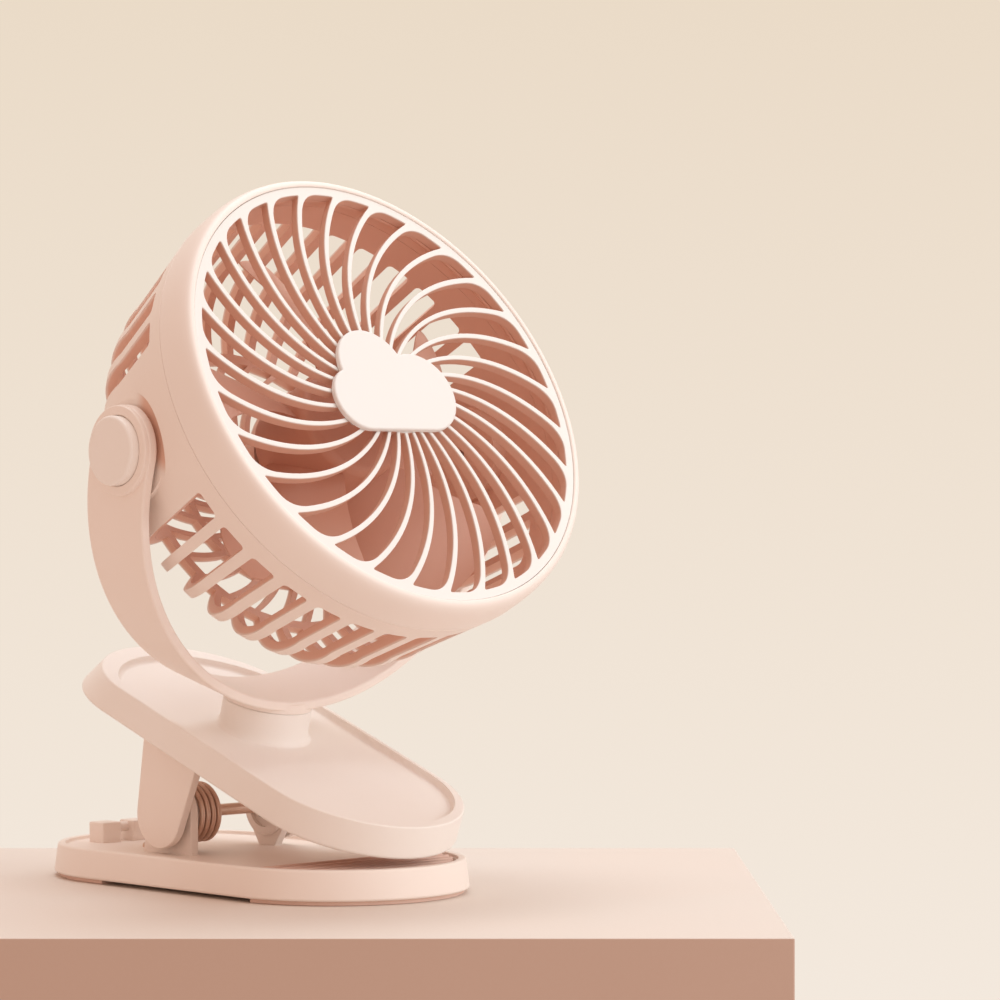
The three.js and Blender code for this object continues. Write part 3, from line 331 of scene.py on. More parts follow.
def buildFastenerTree():
    # one fastener at each point, its Z along the point's own "facing"
    tree, given, out = newTree("fastenersAtPoints", [("Fastener", "Object"), ("Material", "Material")])
    shape = tree.nodes.new("GeometryNodeObjectInfo")
    facing = tree.nodes.new("GeometryNodeInputNamedAttribute")
    facing.data_type = "FLOAT_VECTOR"
    facing.inputs["Name"].default_value = "facing"
    aim = tree.nodes.new("FunctionNodeAlignRotationToVector")
    aim.axis = "Z"
    place = tree.nodes.new("GeometryNodeInstanceOnPoints")
    tree.links.new(given.outputs["Fastener"], shape.inputs["Object"])
    tree.links.new(facing.outputs[0], aim.inputs["Vector"])
    tree.links.new(given.outputs["Geometry"], place.inputs["Points"])
    tree.links.new(shape.outputs["Geometry"], place.inputs["Instance"])
    tree.links.new(aim.outputs[0], place.inputs["Rotation"])
    closeTree(tree, place.outputs[0], given, out)
    return tree


def buildWireTree():
    # a round wire along a line of points
    tree, given, out = newTree("wireAlongLine", [("Radius", "Float"), ("Sides", "Int"),
                                                 ("Material", "Material")])
    line = tree.nodes.new("GeometryNodeMeshToCurve")
    ring = tree.nodes.new("GeometryNodeCurvePrimitiveCircle")
    sweep = tree.nodes.new("GeometryNodeCurveToMesh")
    sweep.inputs["Fill Caps"].default_value = True
    tree.links.new(given.outputs["Geometry"], line.inputs["Mesh"])
    tree.links.new(given.outputs["Radius"], ring.inputs["Radius"])
    tree.links.new(given.outputs["Sides"], ring.inputs["Resolution"])
    tree.links.new(line.outputs[0], sweep.inputs["Curve"])
    tree.links.new(ring.outputs[0], sweep.inputs["Profile Curve"])
    closeTree(tree, sweep.outputs[0], given, out)
    return tree


repeatTree = buildRepeatTree()
fastenerTree = buildFastenerTree()
wireTree = buildWireTree()


def repeated(piece, count, step=(0, 0, 0), turn=(0, 0, 0)):
    values = {"Count": count, "Step": tuple(Vector(step) * mm), "Turn": tuple(deg(part) for part in turn)}
    return runTree(piece, repeatTree, values)


# Finishes: two shared surfaces, and a painted shade that deepens the head's colour by the place in its wall.

def newShaderGroup(name, inputs, outputs):
    group = bpy.data.node_groups.new(name, "ShaderNodeTree")
    for label, kind in inputs:
        group.interface.new_socket(label, in_out="INPUT", socket_type="NodeSocket" + kind)
    for label, kind in outputs:
        group.interface.new_socket(label, in_out="OUTPUT", socket_type="NodeSocket" + kind)
    return group, group.nodes.new("NodeGroupInput"), group.nodes.new("NodeGroupOutput")


surfaceOutputs = [("Colour", "Color"), ("Roughness", "Float"), ("Height", "Float")]


def noiseField(group, point, scale, detail, distortion=0.0):
    noise = group.nodes.new("ShaderNodeTexNoise")
    noise.inputs["Detail"].default_value = detail
    noise.inputs["Distortion"].default_value = distortion
    group.links.new(point, noise.inputs["Vector"])
    group.links.new(scale, noise.inputs["Scale"])
    return noise.outputs["Fac"]


def remapped(group, value, low, high):
    span = group.nodes.new("ShaderNodeMapRange")
    group.links.new(value, span.inputs["Value"])
    span.inputs["From Min"].default_value = 0.3
    span.inputs["From Max"].default_value = 0.7
    for label, end in (("To Min", low), ("To Max", high)):
        if isinstance(end, (int, float)):
            span.inputs[label].default_value = end
        else:
            group.links.new(end, span.inputs[label])
    return span.outputs[0]


def mixed(group, factor, first, second):
    blend = group.nodes.new("ShaderNodeMix")
    blend.data_type = "RGBA"
    group.links.new(factor, blend.inputs["Factor"])
    group.links.new(first, blend.inputs["A"])
    group.links.new(second, blend.inputs["B"])
    return blend.outputs["Result"]


def closeSurface(group, given, out, tint, wear):
    # tint drifts between the two colours, and wear drives the gloss and the height
    colour = mixed(group, remapped(group, tint, 0.0, 1.0), given.outputs["Colour"], given.outputs["Shade"])
    gloss = remapped(group, wear, given.outputs["Smooth"], given.outputs["Rough"])
    for label, value in (("Colour", colour), ("Roughness", gloss), ("Height", wear)):
        group.links.new(value, out.inputs[label])
    return group


def buildMouldedSkin():
    # moulded plastic or rubber: a fine spark-eroded grain, and a slow drift of tone and gloss
    group, given, out = newShaderGroup("mouldedSkin", [
        ("Colour", "Color"), ("Shade", "Color"), ("Mottle", "Float"), ("Grain", "Float"),
        ("Smooth", "Float"), ("Rough", "Float")], surfaceOutputs)
    place = group.nodes.new("ShaderNodeTexCoord").outputs["Object"]
    drift = noiseField(group, place, given.outputs["Mottle"], 3.0)
    grain = noiseField(group, place, given.outputs["Grain"], 4.0)
    return closeSurface(group, given, out, drift, grain)


def buildDrawnMetal():
    # plated or drawn metal: fine streaks one way and a faint cloudiness
    group, given, out = newShaderGroup("drawnMetal", [
        ("Colour", "Color"), ("Shade", "Color"), ("Streak", "Float"), ("Cloud", "Float"),
        ("Smooth", "Float"), ("Rough", "Float")], surfaceOutputs)
    place = group.nodes.new("ShaderNodeTexCoord").outputs["Object"]
    stretch = group.nodes.new("ShaderNodeMapping")
    stretch.inputs["Scale"].default_value = (1.0, 0.06, 1.0)
    group.links.new(place, stretch.inputs["Vector"])
    streak = noiseField(group, stretch.outputs[0], given.outputs["Streak"], 3.0)
    cloud = noiseField(group, place, given.outputs["Cloud"], 2.0, 0.4)
    return closeSurface(group, given, out, cloud, streak)


def mathNode(group, operation, first, second=None):
    node = group.nodes.new("ShaderNodeMath")
    node.operation = operation
    for socket, value in zip(node.inputs, (first, second)):
        if isinstance(value, (int, float)):
            socket.default_value = value
        elif value is not None:
            group.links.new(value, socket)
    return node.outputs[0]


def ramped(group, value, low, high):
    span = group.nodes.new("ShaderNodeMapRange")
    span.interpolation_type = "SMOOTHSTEP"
    group.links.new(value, span.inputs["Value"])
    group.links.new(low, span.inputs["From Min"])
    group.links.new(high, span.inputs["From Max"])
    return span.outputs[0]


def buildHeadPaintedShade():
    # painted shade: the head's plastic is painted deeper inside, blending two colours by how deep a point
    # lies in the wall
    numbers = ("Corner", "Flare", "Wall Low", "Wall High", "Front Low", "Front High")
    group, given, out = newShaderGroup(
        "headPaintedShade", [("Outer", "Color"), ("Inner", "Color"), *[(label, "Float") for label in numbers]],
        [("Colour", "Color"), ("Shade", "Color")])
    turned = group.nodes.new("ShaderNodeMapping")
    turned.vector_type = "TEXTURE"
    turned.inputs["Location"].default_value = headFrame.to_translation()
    turned.inputs["Rotation"].default_value = headFrame.to_euler()
    turned.inputs["Scale"].default_value = (mm, mm, mm)
    group.links.new(group.nodes.new("ShaderNodeTexCoord").outputs["Object"], turned.inputs["Vector"])
    parts = group.nodes.new("ShaderNodeSeparateXYZ")
    group.links.new(turned.outputs[0], parts.inputs[0])
    radius = mathNode(group, "SQRT", mathNode(group, "ADD", mathNode(group, "POWER", parts.outputs[0], 2.0),
                                              mathNode(group, "POWER", parts.outputs[1], 2.0)))
    rise = mathNode(group, "ADD", parts.outputs[2], 1.0)
    flare = mathNode(group, "MULTIPLY", mathNode(group, "MAXIMUM", rise, 0.0), given.outputs["Flare"])
    across = mathNode(group, "SUBTRACT", mathNode(group, "SUBTRACT", radius, flare), given.outputs["Corner"])
    across = mathNode(group, "POWER", mathNode(group, "MAXIMUM", across, 0.0), 2.0)
    behind = mathNode(group, "MAXIMUM", mathNode(group, "MULTIPLY", rise, -1.0), 0.0)
    behind = mathNode(group, "POWER", behind, 2.0)
    depth = mathNode(group, "SQRT", mathNode(group, "ADD", across, behind))
    wall = ramped(group, depth, given.outputs["Wall Low"], given.outputs["Wall High"])
    front = ramped(group, parts.outputs[2], given.outputs["Front Low"], given.outputs["Front High"])
    outward = mathNode(group, "MAXIMUM", wall, front)
    # Inner is the painted shade's colour, Outer is kept where the wall or the front lies outward
    colour = mixed(group, outward, given.outputs["Inner"], given.outputs["Outer"])
    darker = group.nodes.new("ShaderNodeHueSaturation")
    darker.inputs["Saturation"].default_value = 1.04
    darker.inputs["Value"].default_value = 0.97
    group.links.new(colour, darker.inputs["Color"])
    group.links.new(colour, out.inputs["Colour"])
    group.links.new(darker.outputs[0], out.inputs["Shade"])
    return group


mouldedSkin = buildMouldedSkin()
drawnMetal = buildDrawnMetal()
headPaintedShade = buildHeadPaintedShade()


def finish(name, group, look, metallic=0.0):
    material = bpy.data.materials.new(name)
    material.use_nodes = True
    nodes, links = material.node_tree.nodes, material.node_tree.links
    shader = nodes["Principled BSDF"]
    surface = nodes.new("ShaderNodeGroup")
    surface.node_tree = group
    for label, value in look["surface"].items():
        socket = surface.inputs[label]
        socket.default_value = (*value, 1.0) if isinstance(value, tuple) else value
    # a painted shade, deeper inside the head, feeds both of the surface's colours
    if "tone" in look:
        tone = nodes.new("ShaderNodeGroup")
        tone.node_tree = headPaintedShade
        for label, value in look["tone"].items():
            tone.inputs[label].default_value = (*value, 1.0) if isinstance(value, tuple) else value
        links.new(tone.outputs["Colour"], surface.inputs["Colour"])
        links.new(tone.outputs["Shade"], surface.inputs["Shade"])
    bump = nodes.new("ShaderNodeBump")
    bump.inputs["Strength"].default_value = look["bump"]
    bump.inputs["Distance"].default_value = look["depth"] * mm
    links.new(surface.outputs["Colour"], shader.inputs["Base Color"])
    links.new(surface.outputs["Roughness"], shader.inputs["Roughness"])
    links.new(surface.outputs["Height"], bump.inputs["Height"])
    links.new(bump.outputs[0], shader.inputs["Normal"])
    shader.inputs["Metallic"].default_value = metallic
    for label, value in look.get("shader", {}).items():
        shader.inputs[label].default_value = value
    return material


shellSkin = {"Mottle": 22.0, "Grain": 2600.0, "Smooth": 0.44, "Rough": 0.54}
shellGloss = {"bump": 0.1, "depth": 0.05, "shader": {"Specular IOR Level": 0.4}}
never = (900.0, 901.0)
# the deep pink painted as shade on the head's inside
paintedInsideShade = (0.83, 0.54, 0.425)
shellPink = (0.93, 0.83, 0.765)


def headFinish(name, outer, inner, corner=0.0, flare=0.0, wall=never, front=never):
    tone = {"Outer": outer, "Inner": inner, "Corner": corner, "Flare": flare, "Wall Low": wall[0],
            "Wall High": wall[1], "Front Low": front[0], "Front High": front[1]}
    return finish(name, mouldedSkin, {"surface": shellSkin, "tone": tone, **shellGloss})


paleShell = finish("paleShell", mouldedSkin, {
    "surface": {"Colour": (0.93, 0.872, 0.825), "Shade": (0.92, 0.855, 0.80), **shellSkin}, **shellGloss})
pinkShell = finish("pinkShell", mouldedSkin, {
    "surface": {"Colour": shellPink, "Shade": (0.92, 0.81, 0.74), **shellSkin}, **shellGloss})
# Painted shade: the cage's and cowl's insides, the side walls of the grille's bars and the rotor towards its
# hub take the deep colour; the rotor's outer colour is darkened too, as painted shade inside the head.
cagePink = headFinish("cagePink", shellPink, paintedInsideShade, corner=41.0, flare=0.163, wall=(23.9, 24.95))
cowlPink = headFinish("cowlPink", (0.935, 0.845, 0.785), paintedInsideShade, wall=(68.1, 69.7), front=(34.9, 37.0))
grillePale = headFinish("grillePale", (0.87, 0.84, 0.805), (0.73, 0.45, 0.345), front=(37.4, 38.0))
rotorPink = headFinish("rotorPink", (0.78, 0.50, 0.40), (0.63, 0.32, 0.23), corner=14.0, wall=(12.0, 44.0))
plaquePale = finish("plaquePale", mouldedSkin, {
    "surface": {"Colour": (0.84, 0.815, 0.79), "Shade": (0.835, 0.805, 0.775), **shellSkin}, **shellGloss})
# the steel's terracotta tint is painted shade: the pink-brown of the hinge's shaded hollow
springWire = finish("springWire", drawnMetal, {
    "surface": {"Colour": (0.74, 0.53, 0.43), "Shade": (0.66, 0.44, 0.34), "Streak": 1800.0, "Cloud": 120.0,
                "Smooth": 0.3, "Rough": 0.48},
    "bump": 0.15, "depth": 0.03}, metallic=0.6)
# the rubber's own darker pink, deepened to the tone of the shade in the jaws' gap: partly painted shade
gripRubber = finish("gripRubber", mouldedSkin, {
    "surface": {"Colour": (0.82, 0.59, 0.50), "Shade": (0.79, 0.56, 0.47), "Mottle": 40.0, "Grain": 1500.0,
                "Smooth": 0.7, "Rough": 0.85},
    "bump": 0.3, "depth": 0.08, "shader": {"Specular IOR Level": 0.25}})
nylonWasher = finish("nylonWasher", mouldedSkin, {
    "surface": {"Colour": (0.88, 0.85, 0.81), "Shade": (0.85, 0.81, 0.76), "Mottle": 60.0, "Grain": 1800.0,
                "Smooth": 0.35, "Rough": 0.5},
    "bump": 0.1, "depth": 0.04})
platedSteel = finish("platedSteel", drawnMetal, {
    "surface": {"Colour": (0.62, 0.62, 0.63), "Shade": (0.55, 0.55, 0.56), "Streak": 1800.0, "Cloud": 120.0,
                "Smooth": 0.22, "Rough": 0.4},
    "bump": 0.15, "depth": 0.03}, metallic=1.0)
darkSteel = finish("darkSteel", drawnMetal, {
    "surface": {"Colour": (0.25, 0.25, 0.26), "Shade": (0.2, 0.2, 0.21), "Streak": 1600.0, "Cloud": 140.0,
                "Smooth": 0.3, "Rough": 0.5},
    "bump": 0.15, "depth": 0.03}, metallic=1.0)
cellFoil = finish("cellFoil", drawnMetal, {
    "surface": {"Colour": (0.6, 0.62, 0.65), "Shade": (0.5, 0.52, 0.56), "Streak": 300.0, "Cloud": 90.0,
                "Smooth": 0.3, "Rough": 0.45},
    "bump": 0.5, "depth": 0.2}, metallic=0.8)
boardGreen = finish("boardGreen", mouldedSkin, {
    "surface": {"Colour": (0.05, 0.2, 0.11), "Shade": (0.09, 0.3, 0.16), "Mottle": 420.0, "Grain": 900.0,
                "Smooth": 0.2, "Rough": 0.35},
    "bump": 0.2, "depth": 0.05, "shader": {"Coat Weight": 0.4}})
clearLens = finish("clearLens", mouldedSkin, {
    "surface": {"Colour": (0.93, 0.93, 0.9), "Shade": (0.9, 0.9, 0.87), "Mottle": 90.0, "Grain": 900.0,
                "Smooth": 0.08, "Rough": 0.16},
    "bump": 0.05, "depth": 0.02, "shader": {"Transmission Weight": 0.5, "IOR": 1.49}})


def finished(piece, name, place, material, body, slotName, *nodes):
    # puts a shape in its place for good, hangs it on its body or bakes it in place, and hides the CAD parts
    # that it stands for
    piece.name = name
    piece.data.name = name
    moved(piece, place)
    piece.data.materials.clear()
    piece.data.materials.append(material)
    for polygon in piece.data.polygons:
        polygon.material_index = 0
    piece.data.shade_smooth()
    piece.data.set_sharp_from_angle(angle=deg(32))
    flat = piece.modifiers.new("flat", "WEIGHTED_NORMAL")
    flat.keep_sharp = True
    baked(piece)
    if isinstance(body, tuple):
        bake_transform(piece)
    else:
        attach(piece, body)
    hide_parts(*nodes)
    return piece


def refined(node, name, material, slotName, body, soft):
    # a small CAD piece with its doubled corners merged and its edges eased
    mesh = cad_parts[node].data.copy()
    piece = bpy.data.objects.new(name, mesh)
    bpy.context.scene.collection.objects.link(piece)
    shell = bmesh.new()
    shell.from_mesh(mesh)
    bmesh.ops.remove_doubles(shell, verts=shell.verts, dist=1e-6)
    bmesh.ops.dissolve_limit(shell, angle_limit=deg(1), verts=shell.verts, edges=shell.edges)
    shell.to_mesh(mesh)
    shell.free()
    if soft:
        eased(piece, soft, segments=2, limit=40)
    return finished(piece, name, Matrix.Identity(4), material, body, slotName, node)


lowerJaw = {"length": 147.2, "width": 75.6, "bottom": 1.24, "top": 9.95, "draft": 0.9, "soft": 0.8,
            "rim": 2.4, "recess": 1.2, "fillet": 0.6, "mouth": 0.3, "pocketStart": 36, "pocketDepth": 3.4}
ears = {"inner": 17.2, "outer": 20, "radius": 9.5, "footRear": -29, "farFoot": (-19, -13), "bossRadius": 6.8,
        "bossEnd": 6.9, "spacerRadius": 4.15, "pinBore": 2.05, "lap": 1, "soft": 0.35}
farRing = {"inner": 6.2, "outer": 8.8, "height": 1.4, "soft": 0.4}
lugs = {"inner": 22, "outer": 24.7, "boreEnd": 23.9, "tipRadius": 10, "rootRear": -27.2, "rootFront": -0.8,
        "lap": 0.8, "soft": 0.4}
cordBar = {"x": -58.5, "depth": 7, "top": 14.9, "radius": 1.5, "drop": 0.4, "soft": 0.5, "lap": 1,
           "blocks": [(-14.6, -7.6), (-2.9, 8)]}
clear = 0.3


def jawRing(size, inset, z):
    end = size["length"] / 2 - inset
    return stadium(-end, end, size["width"] - 2 * inset, z)


def buildLowerJaw(size):
    soft, draft, top = size["soft"], size["draft"], size["top"]
    levels = rises(0, size["bottom"], soft) + turnsOver(draft, top, soft)
    body = lofted([jawRing(size, inset, z) for inset, z in levels])
    rim = draft + size["rim"]
    floor = top - size["recess"]
    fillet, mouth = size["fillet"], size["mouth"]
    hollow = rises(rim, floor, fillet, 4) + turnsOver(rim, top, -mouth, 3) + [(rim - mouth, top + 1)]
    recess = lofted([jawRing(size, inset, z) for inset, z in hollow])
    pocketFloor = top - size["pocketDepth"]
    pocket = within(
        lofted([jawRing(size, rim + clear, pocketFloor), jawRing(size, rim + clear, top + 1)]),
        block(size["pocketStart"], 80, -50, 50, pocketFloor - 1, top + 2))
    return cut(body, recess, pocket)


def buildEar(side, footRear, footFront):
    centre = (hinge["x"], hinge["z"])
    footZ = lowerJaw["top"] - lowerJaw["recess"] - ears["lap"]
    rear = touchAngle((footRear, footZ), centre, ears["radius"], -1)
    front = touchAngle((footFront, footZ), centre, ears["radius"], 1)
    outline = [(footRear, footZ), (footFront, footZ)]
    outline += arc(*centre, ears["radius"], math.degrees(front), math.degrees(rear) + 360, 40)
    y0, y1 = (-ears["outer"], -ears["inner"]) if side < 0 else (ears["inner"], ears["outer"])
    return plate(outline, y0, y1, ears["soft"])


def buildSpacer(side):
    y0, y1 = sorted((side * (ears["outer"] - ears["lap"]), side * (lugs["inner"] - clear)))
    return barAcross(ears["spacerRadius"], y0, y1, hinge["x"], hinge["z"])


def buildCordBar(size):
    lap, barZ = size["lap"], size["top"] - size["radius"] - size["drop"]
    base = lowerJaw["top"] - lowerJaw["recess"] - lap
    x0, x1 = size["x"] - size["depth"] / 2, size["x"] + size["depth"] / 2
    left, right = size["blocks"][0][1], size["blocks"][1][0]
    bar = barAcross(size["radius"], left - lap, right + lap, size["x"], barZ, 40)
    blocks = [block(x0, x1, y0, y1, base, size["top"], size["soft"]) for y0, y1 in size["blocks"]]
    return joined(bar, *blocks)


def buildFarRing(size):
    # the raised ring round the pin on the inner side of the far ear
    inner, outer, soft = size["inner"], size["outer"], size["soft"]
    face, end = ears["inner"] - size["height"], ears["inner"] + 1
    profile = [(inner, face), (outer - soft, face), (outer, face + soft), (outer, end), (inner, end)]
    return acrossY(revolved(profile, 64), hinge["x"], hinge["z"])


jaw = buildLowerJaw(lowerJaw)
springBoss = barAcross(ears["bossRadius"], -ears["inner"] - 1, -ears["bossEnd"], hinge["x"], hinge["z"])
joined(jaw, buildEar(-1, ears["footRear"], hinge["x"] + ears["radius"]), buildEar(1, *ears["farFoot"]),
       buildFarRing(farRing), buildSpacer(-1), buildSpacer(1), springBoss, buildCordBar(cordBar))
cut(jaw, barAcross(ears["pinBore"], -lugs["outer"], lugs["outer"], hinge["x"], hinge["z"], 48))
finished(jaw, "lowerJaw", clipFrame, pinkShell, "base", "shell_pink", "lower_jaw")


upperJaw = {"rear": -71.5, "front": 71.5, "width": 63.6, "height": 10.1, "rearSlope": 7.5, "soft": 1.1,
            "topSoft": 0.5, "rearRim": 7.4, "frontRim": 3.5, "sideRim": 1.7, "depth": 2.1, "fillet": 0.9,
            "floor": 2.0, "wall": 2.4, "coverWall": 1.6, "brim": 0.3, "brimWidth": 0.08}
footPads = {"thickness": 1.24, "inset": 1.6, "rearEnd": -28, "frontStart": 39, "soft": 0.3}
lowerPad = {"start": 37.2, "endGap": 4.5, "inset": 4.8, "bottom": 6.85, "top": 9.25, "crest": 9.75,
            "ridges": 6}
# a ridge's foot and crest as shares of the pitch to each side, and the rounding of its crest
ridge = {"foot": 0.32, "crest": 0.16, "soft": 0.35}
upperPad = {"start": 34, "end": 64.5, "inset": 7, "bottom": -11.8, "top": -10.4, "crest": -12.4, "ridges": 6}


def buildFoot(x0, x1):
    soft, inset, top = footPads["soft"], footPads["inset"], footPads["thickness"]
    levels = rises(inset, 0, soft, 3) + [(inset, top)]
    pad = lofted([jawRing(lowerJaw, amount, z) for amount, z in levels])
    return within(pad, block(x0, x1, -50, 50, -1, top + 1))


def buildGripPad(size, outline, x0, x1):
    # a flat base and a row of cross ridges, trimmed to the outline
    base, face, crest = size["bottom"], size["top"], size["crest"]
    if crest < base:
        base, face = face, base
    way = 1 if crest > face else -1
    pitch = (x1 - x0) / size["ridges"]
    foot, top, soft, root = ridge["foot"], ridge["crest"], ridge["soft"], face - way * 0.5
    corners = [(-foot, root, 0), (foot, root, 0), (top, crest, soft), (-top, crest, soft)]
    section = softened([(x0 + (0.5 + part) * pitch, z, radius) for part, z, radius in corners])
    ridges = repeated(plate(section, -40, 40, 0.02), size["ridges"], step=(pitch, 0, 0))
    return within(joined(block(x0, x1, -40, 40, min(base, face), max(base, face)), ridges), outline)


def rubberPad(piece, name, place, body, node):
    return finished(piece, name, place, gripRubber, body, "grip_rubber", node)


rubberPad(buildFoot(footPads["frontStart"], 90), "frontFootPad", clipFrame, "base", "front_foot_pad")
rubberPad(buildFoot(-90, footPads["rearEnd"]), "rearFootPad", clipFrame, "base", "rear_foot_pad")
outline = lofted([jawRing(lowerJaw, lowerPad["inset"], z) for z in (5, 12)])
rubberPad(buildGripPad(lowerPad, outline, lowerPad["start"], lowerJaw["length"] / 2 - lowerPad["endGap"]),
          "lowerGripPad", clipFrame, "base", "lower_grip_pad")
padWidth = upperJaw["width"] - 2 * upperPad["inset"]
outline = lofted([stadium(upperJaw["rear"], upperPad["end"], padWidth, z) for z in (-15, -9)])
rubberPad(buildGripPad(upperPad, outline, upperPad["start"], upperPad["end"]), "upperGripPad", jawFrame,
          "upper_jaw", "upper_grip_pad")
print("lower jaw and pads built")


clipSpring = {"wire": 1.6, "pitch": 2.08, "turns": 4.2, "stepsPerTurn": 32, "sides": 14, "rearLeg": 17,
              "bend": 8, "slack": 0.3}


def springLine(size):
    # a leg on the lower jaw, the coil round its boss, and a leg up to the upper jaw
    half, slack = size["wire"] / 2, size["slack"]
    radius = ears["bossRadius"] + clear + half + slack
    firstY = -ears["inner"] + clear + half
    restZ = lowerJaw["top"] - lowerJaw["recess"] + clear + half
    steps = round(size["turns"] * size["stepsPerTurn"])
    last = -90 - 360 * size["turns"]
    line = [(hinge["x"] - size["rearLeg"], firstY, restZ), (hinge["x"] - size["bend"], firstY, restZ + slack)]
    for i in range(steps + 1):
        angle = deg(-90 + (last + 90) * i / steps)
        y = firstY + size["pitch"] * size["turns"] * i / steps
        line.append((hinge["x"] + radius * math.cos(angle), y, hinge["z"] + radius * math.sin(angle)))
    tilt, height = deg(lean["tilt"]), upperJaw["height"]
    endX, endY, endZ = line[-1]
    along = (endX - lean["x"] + height * math.sin(tilt)) / math.cos(tilt)
    under = lean["z"] - along * math.sin(tilt) - height * math.cos(tilt)
    leave = deg(last - 90)
    rise = under - (clear + half) / math.cos(tilt) - endZ
    reach = rise / (math.sin(leave) + math.cos(leave) * math.tan(tilt))
    for part in (0.5, 1):
        line.append((endX + reach * part * math.cos(leave), endY, endZ + reach * part * math.sin(leave)))
    return line


line = springLine(clipSpring)
spring = meshPiece("springLine", line, [], [(i, i + 1) for i in range(len(line) - 1)])
runTree(spring, wireTree, {"Radius": clipSpring["wire"] / 2 * mm, "Sides": clipSpring["sides"],
                           "Material": springWire})
# the coil winds as the clip opens; windFrom and windTo mark its first and last turn along Y, and the piece is
# only baked in place
windFrom, windTo = line[1][1] + clipSpring["wire"] / 4, line[-1][1] - clipSpring["wire"] / 4
finished(spring, "clipSpring", clipFrame, springWire,
         ("base", "upper_jaw", (0, windFrom * mm, 0), (0, windTo * mm, 0)), "steel", "clip_spring")


neck = {"radius": 13.2, "footRadius": 14.8, "top": 75.52, "straight": 80.8, "sides": 96, "washerWell": 11.5,
        "washerSeat": 76.8, "boreEnd": 84.3}
bores = {"screw": 1.7, "neckScrew": 1.8, "head": 3.3}
coverScrews = {"length": 4.2, "headHeight": 0.7, "well": 1, "post": 3.1,
               "places": [(-51, 15), (-51, -15), (61, 13), (61, -13)]}
sideFittings = {"socketX": -22, "socketWidth": 9, "socketHeight": 3.2, "buttonX": -2, "buttonLength": 8,
                "buttonHeight": 2.8, "keyCorner": 1.5, "lampX": -11, "lampRadius": 1.1}
trayUnderside = -upperJaw["depth"] - upperJaw["floor"]
coverTop = -upperJaw["height"] + upperJaw["coverWall"]
fittingZ = (trayUnderside + coverTop) / 2


def upperRing(z, inset):
    slope = upperJaw["rearSlope"] * (z + upperJaw["height"]) / upperJaw["height"]
    rear, front = upperJaw["rear"] + slope + inset, upperJaw["front"] - inset
    return stadium(rear, front, upperJaw["width"] - 2 * inset, z)


def buildTrayShell(size):
    soft, topSoft, bottom = size["soft"], size["topSoft"], -size["height"]
    levels = rises(0, bottom, soft) + turnsOver(0, 0, topSoft, 4)
    body = lofted([upperRing(z, inset) for inset, z in levels])
    rear = size["rear"] + size["rearSlope"] + size["rearRim"]
    # the basin's wall from its floor up to the brim, which rounds outwards
    brim = size["brim"]
    basin = [(size["fillet"] * (1 - math.sin(a)), -brim - (size["depth"] - brim) * math.cos(a))
             for a in quarter(10)]
    basin += [(-size["brimWidth"], -0.3 * brim), (-brim, 0), (-brim, 1)]
    hollow = lofted([stadium(rear + 2 * inset, size["front"] - size["frontRim"] - inset,
                             size["width"] - 2 * size["sideRim"] - 2 * inset, z) for inset, z in basin])
    cavity = lofted([upperRing(bottom - 1, size["wall"]), upperRing(trayUnderside, size["wall"])])
    return cut(body, hollow, cavity)


def buildNeck(size):
    # round at the top, and with a fillet that runs out on the leaning tray floor all round
    floorZ, radius, spread = -upperJaw["depth"], size["radius"], size["footRadius"] - size["radius"]
    down = yokeInJaw.to_3x3() @ Vector((0, 0, -1))

    def ring(r, z):
        turns = [2 * math.pi * i / size["sides"] for i in range(size["sides"])]
        return [yokeInJaw @ (Vector((r * math.cos(a), r * math.sin(a), z)) * mm) / mm for a in turns]

    def onFloor(point):
        return point + down * ((floorZ - point.z) / down.z)

    centre = onFloor(ring(0, -size["straight"])[0])
    start = ring(radius, -size["straight"])
    meet = [onFloor(point) for point in start]
    foot = [point + (point - centre).normalized() * spread for point in meet]
    rings = [ring(*spot) for spot in turnsOver(radius, -size["top"], -0.4, 3)[::-1]] + [start]
    rings += zip(*[curve(a, b, c, 12) for a, b, c in zip(start, meet, foot)])
    rings.append([point - Vector((0, 0, 0.8)) for point in foot])
    return lofted(rings)


def atScrews(profile):
    return [shifted(revolved(profile, 32), x, y) for x, y in coverScrews["places"]]


def buildTray():
    body = buildTrayShell(upperJaw)
    posts = atScrews([(0, coverTop + clear), (coverScrews["post"], coverTop + clear),
                      (coverScrews["post"], trayUnderside + 0.5), (0, trayUnderside + 0.5)])
    joined(body, buildNeck(neck), *posts)
    washerSeat = moved(rod(neck["washerWell"], -neck["washerSeat"], -neck["top"] + 1), yokeInJaw)
    screwBore = moved(rod(bores["neckScrew"], -neck["boreEnd"], -neck["top"] + 1, 32), yokeInJaw)
    side, wall = upperJaw["width"] / 2, upperJaw["wall"]
    fit, y0, y1 = sideFittings, side - wall - 1, side + 1
    half, high = fit["socketWidth"] / 2, fit["socketHeight"] / 2
    socketHole = block(fit["socketX"] - half - clear, fit["socketX"] + half + clear, y0, y1,
                       fittingZ - high - clear, fittingZ + high + clear)
    half, high = fit["buttonLength"] / 2 + clear, fit["buttonHeight"] / 2 + clear
    corners = [(fit["buttonX"] + x * half, fittingZ + z * high, fit["keyCorner"])
               for x, z in ((-1, -1), (1, -1), (1, 1), (-1, 1))]
    keyHole = plate(softened(corners), y0, y1, 0.01)
    lampHole = barAcross(fit["lampRadius"] + clear, y0, y1, fit["lampX"], fittingZ, 32)
    pilot, deep = bores["screw"], trayUnderside - clear
    pilots = atScrews([(0, coverTop - 1), (pilot, coverTop - 1), (pilot, deep), (0, deep)])
    return cut(body, washerSeat, screwBore, socketHole, keyHole, lampHole, *pilots)


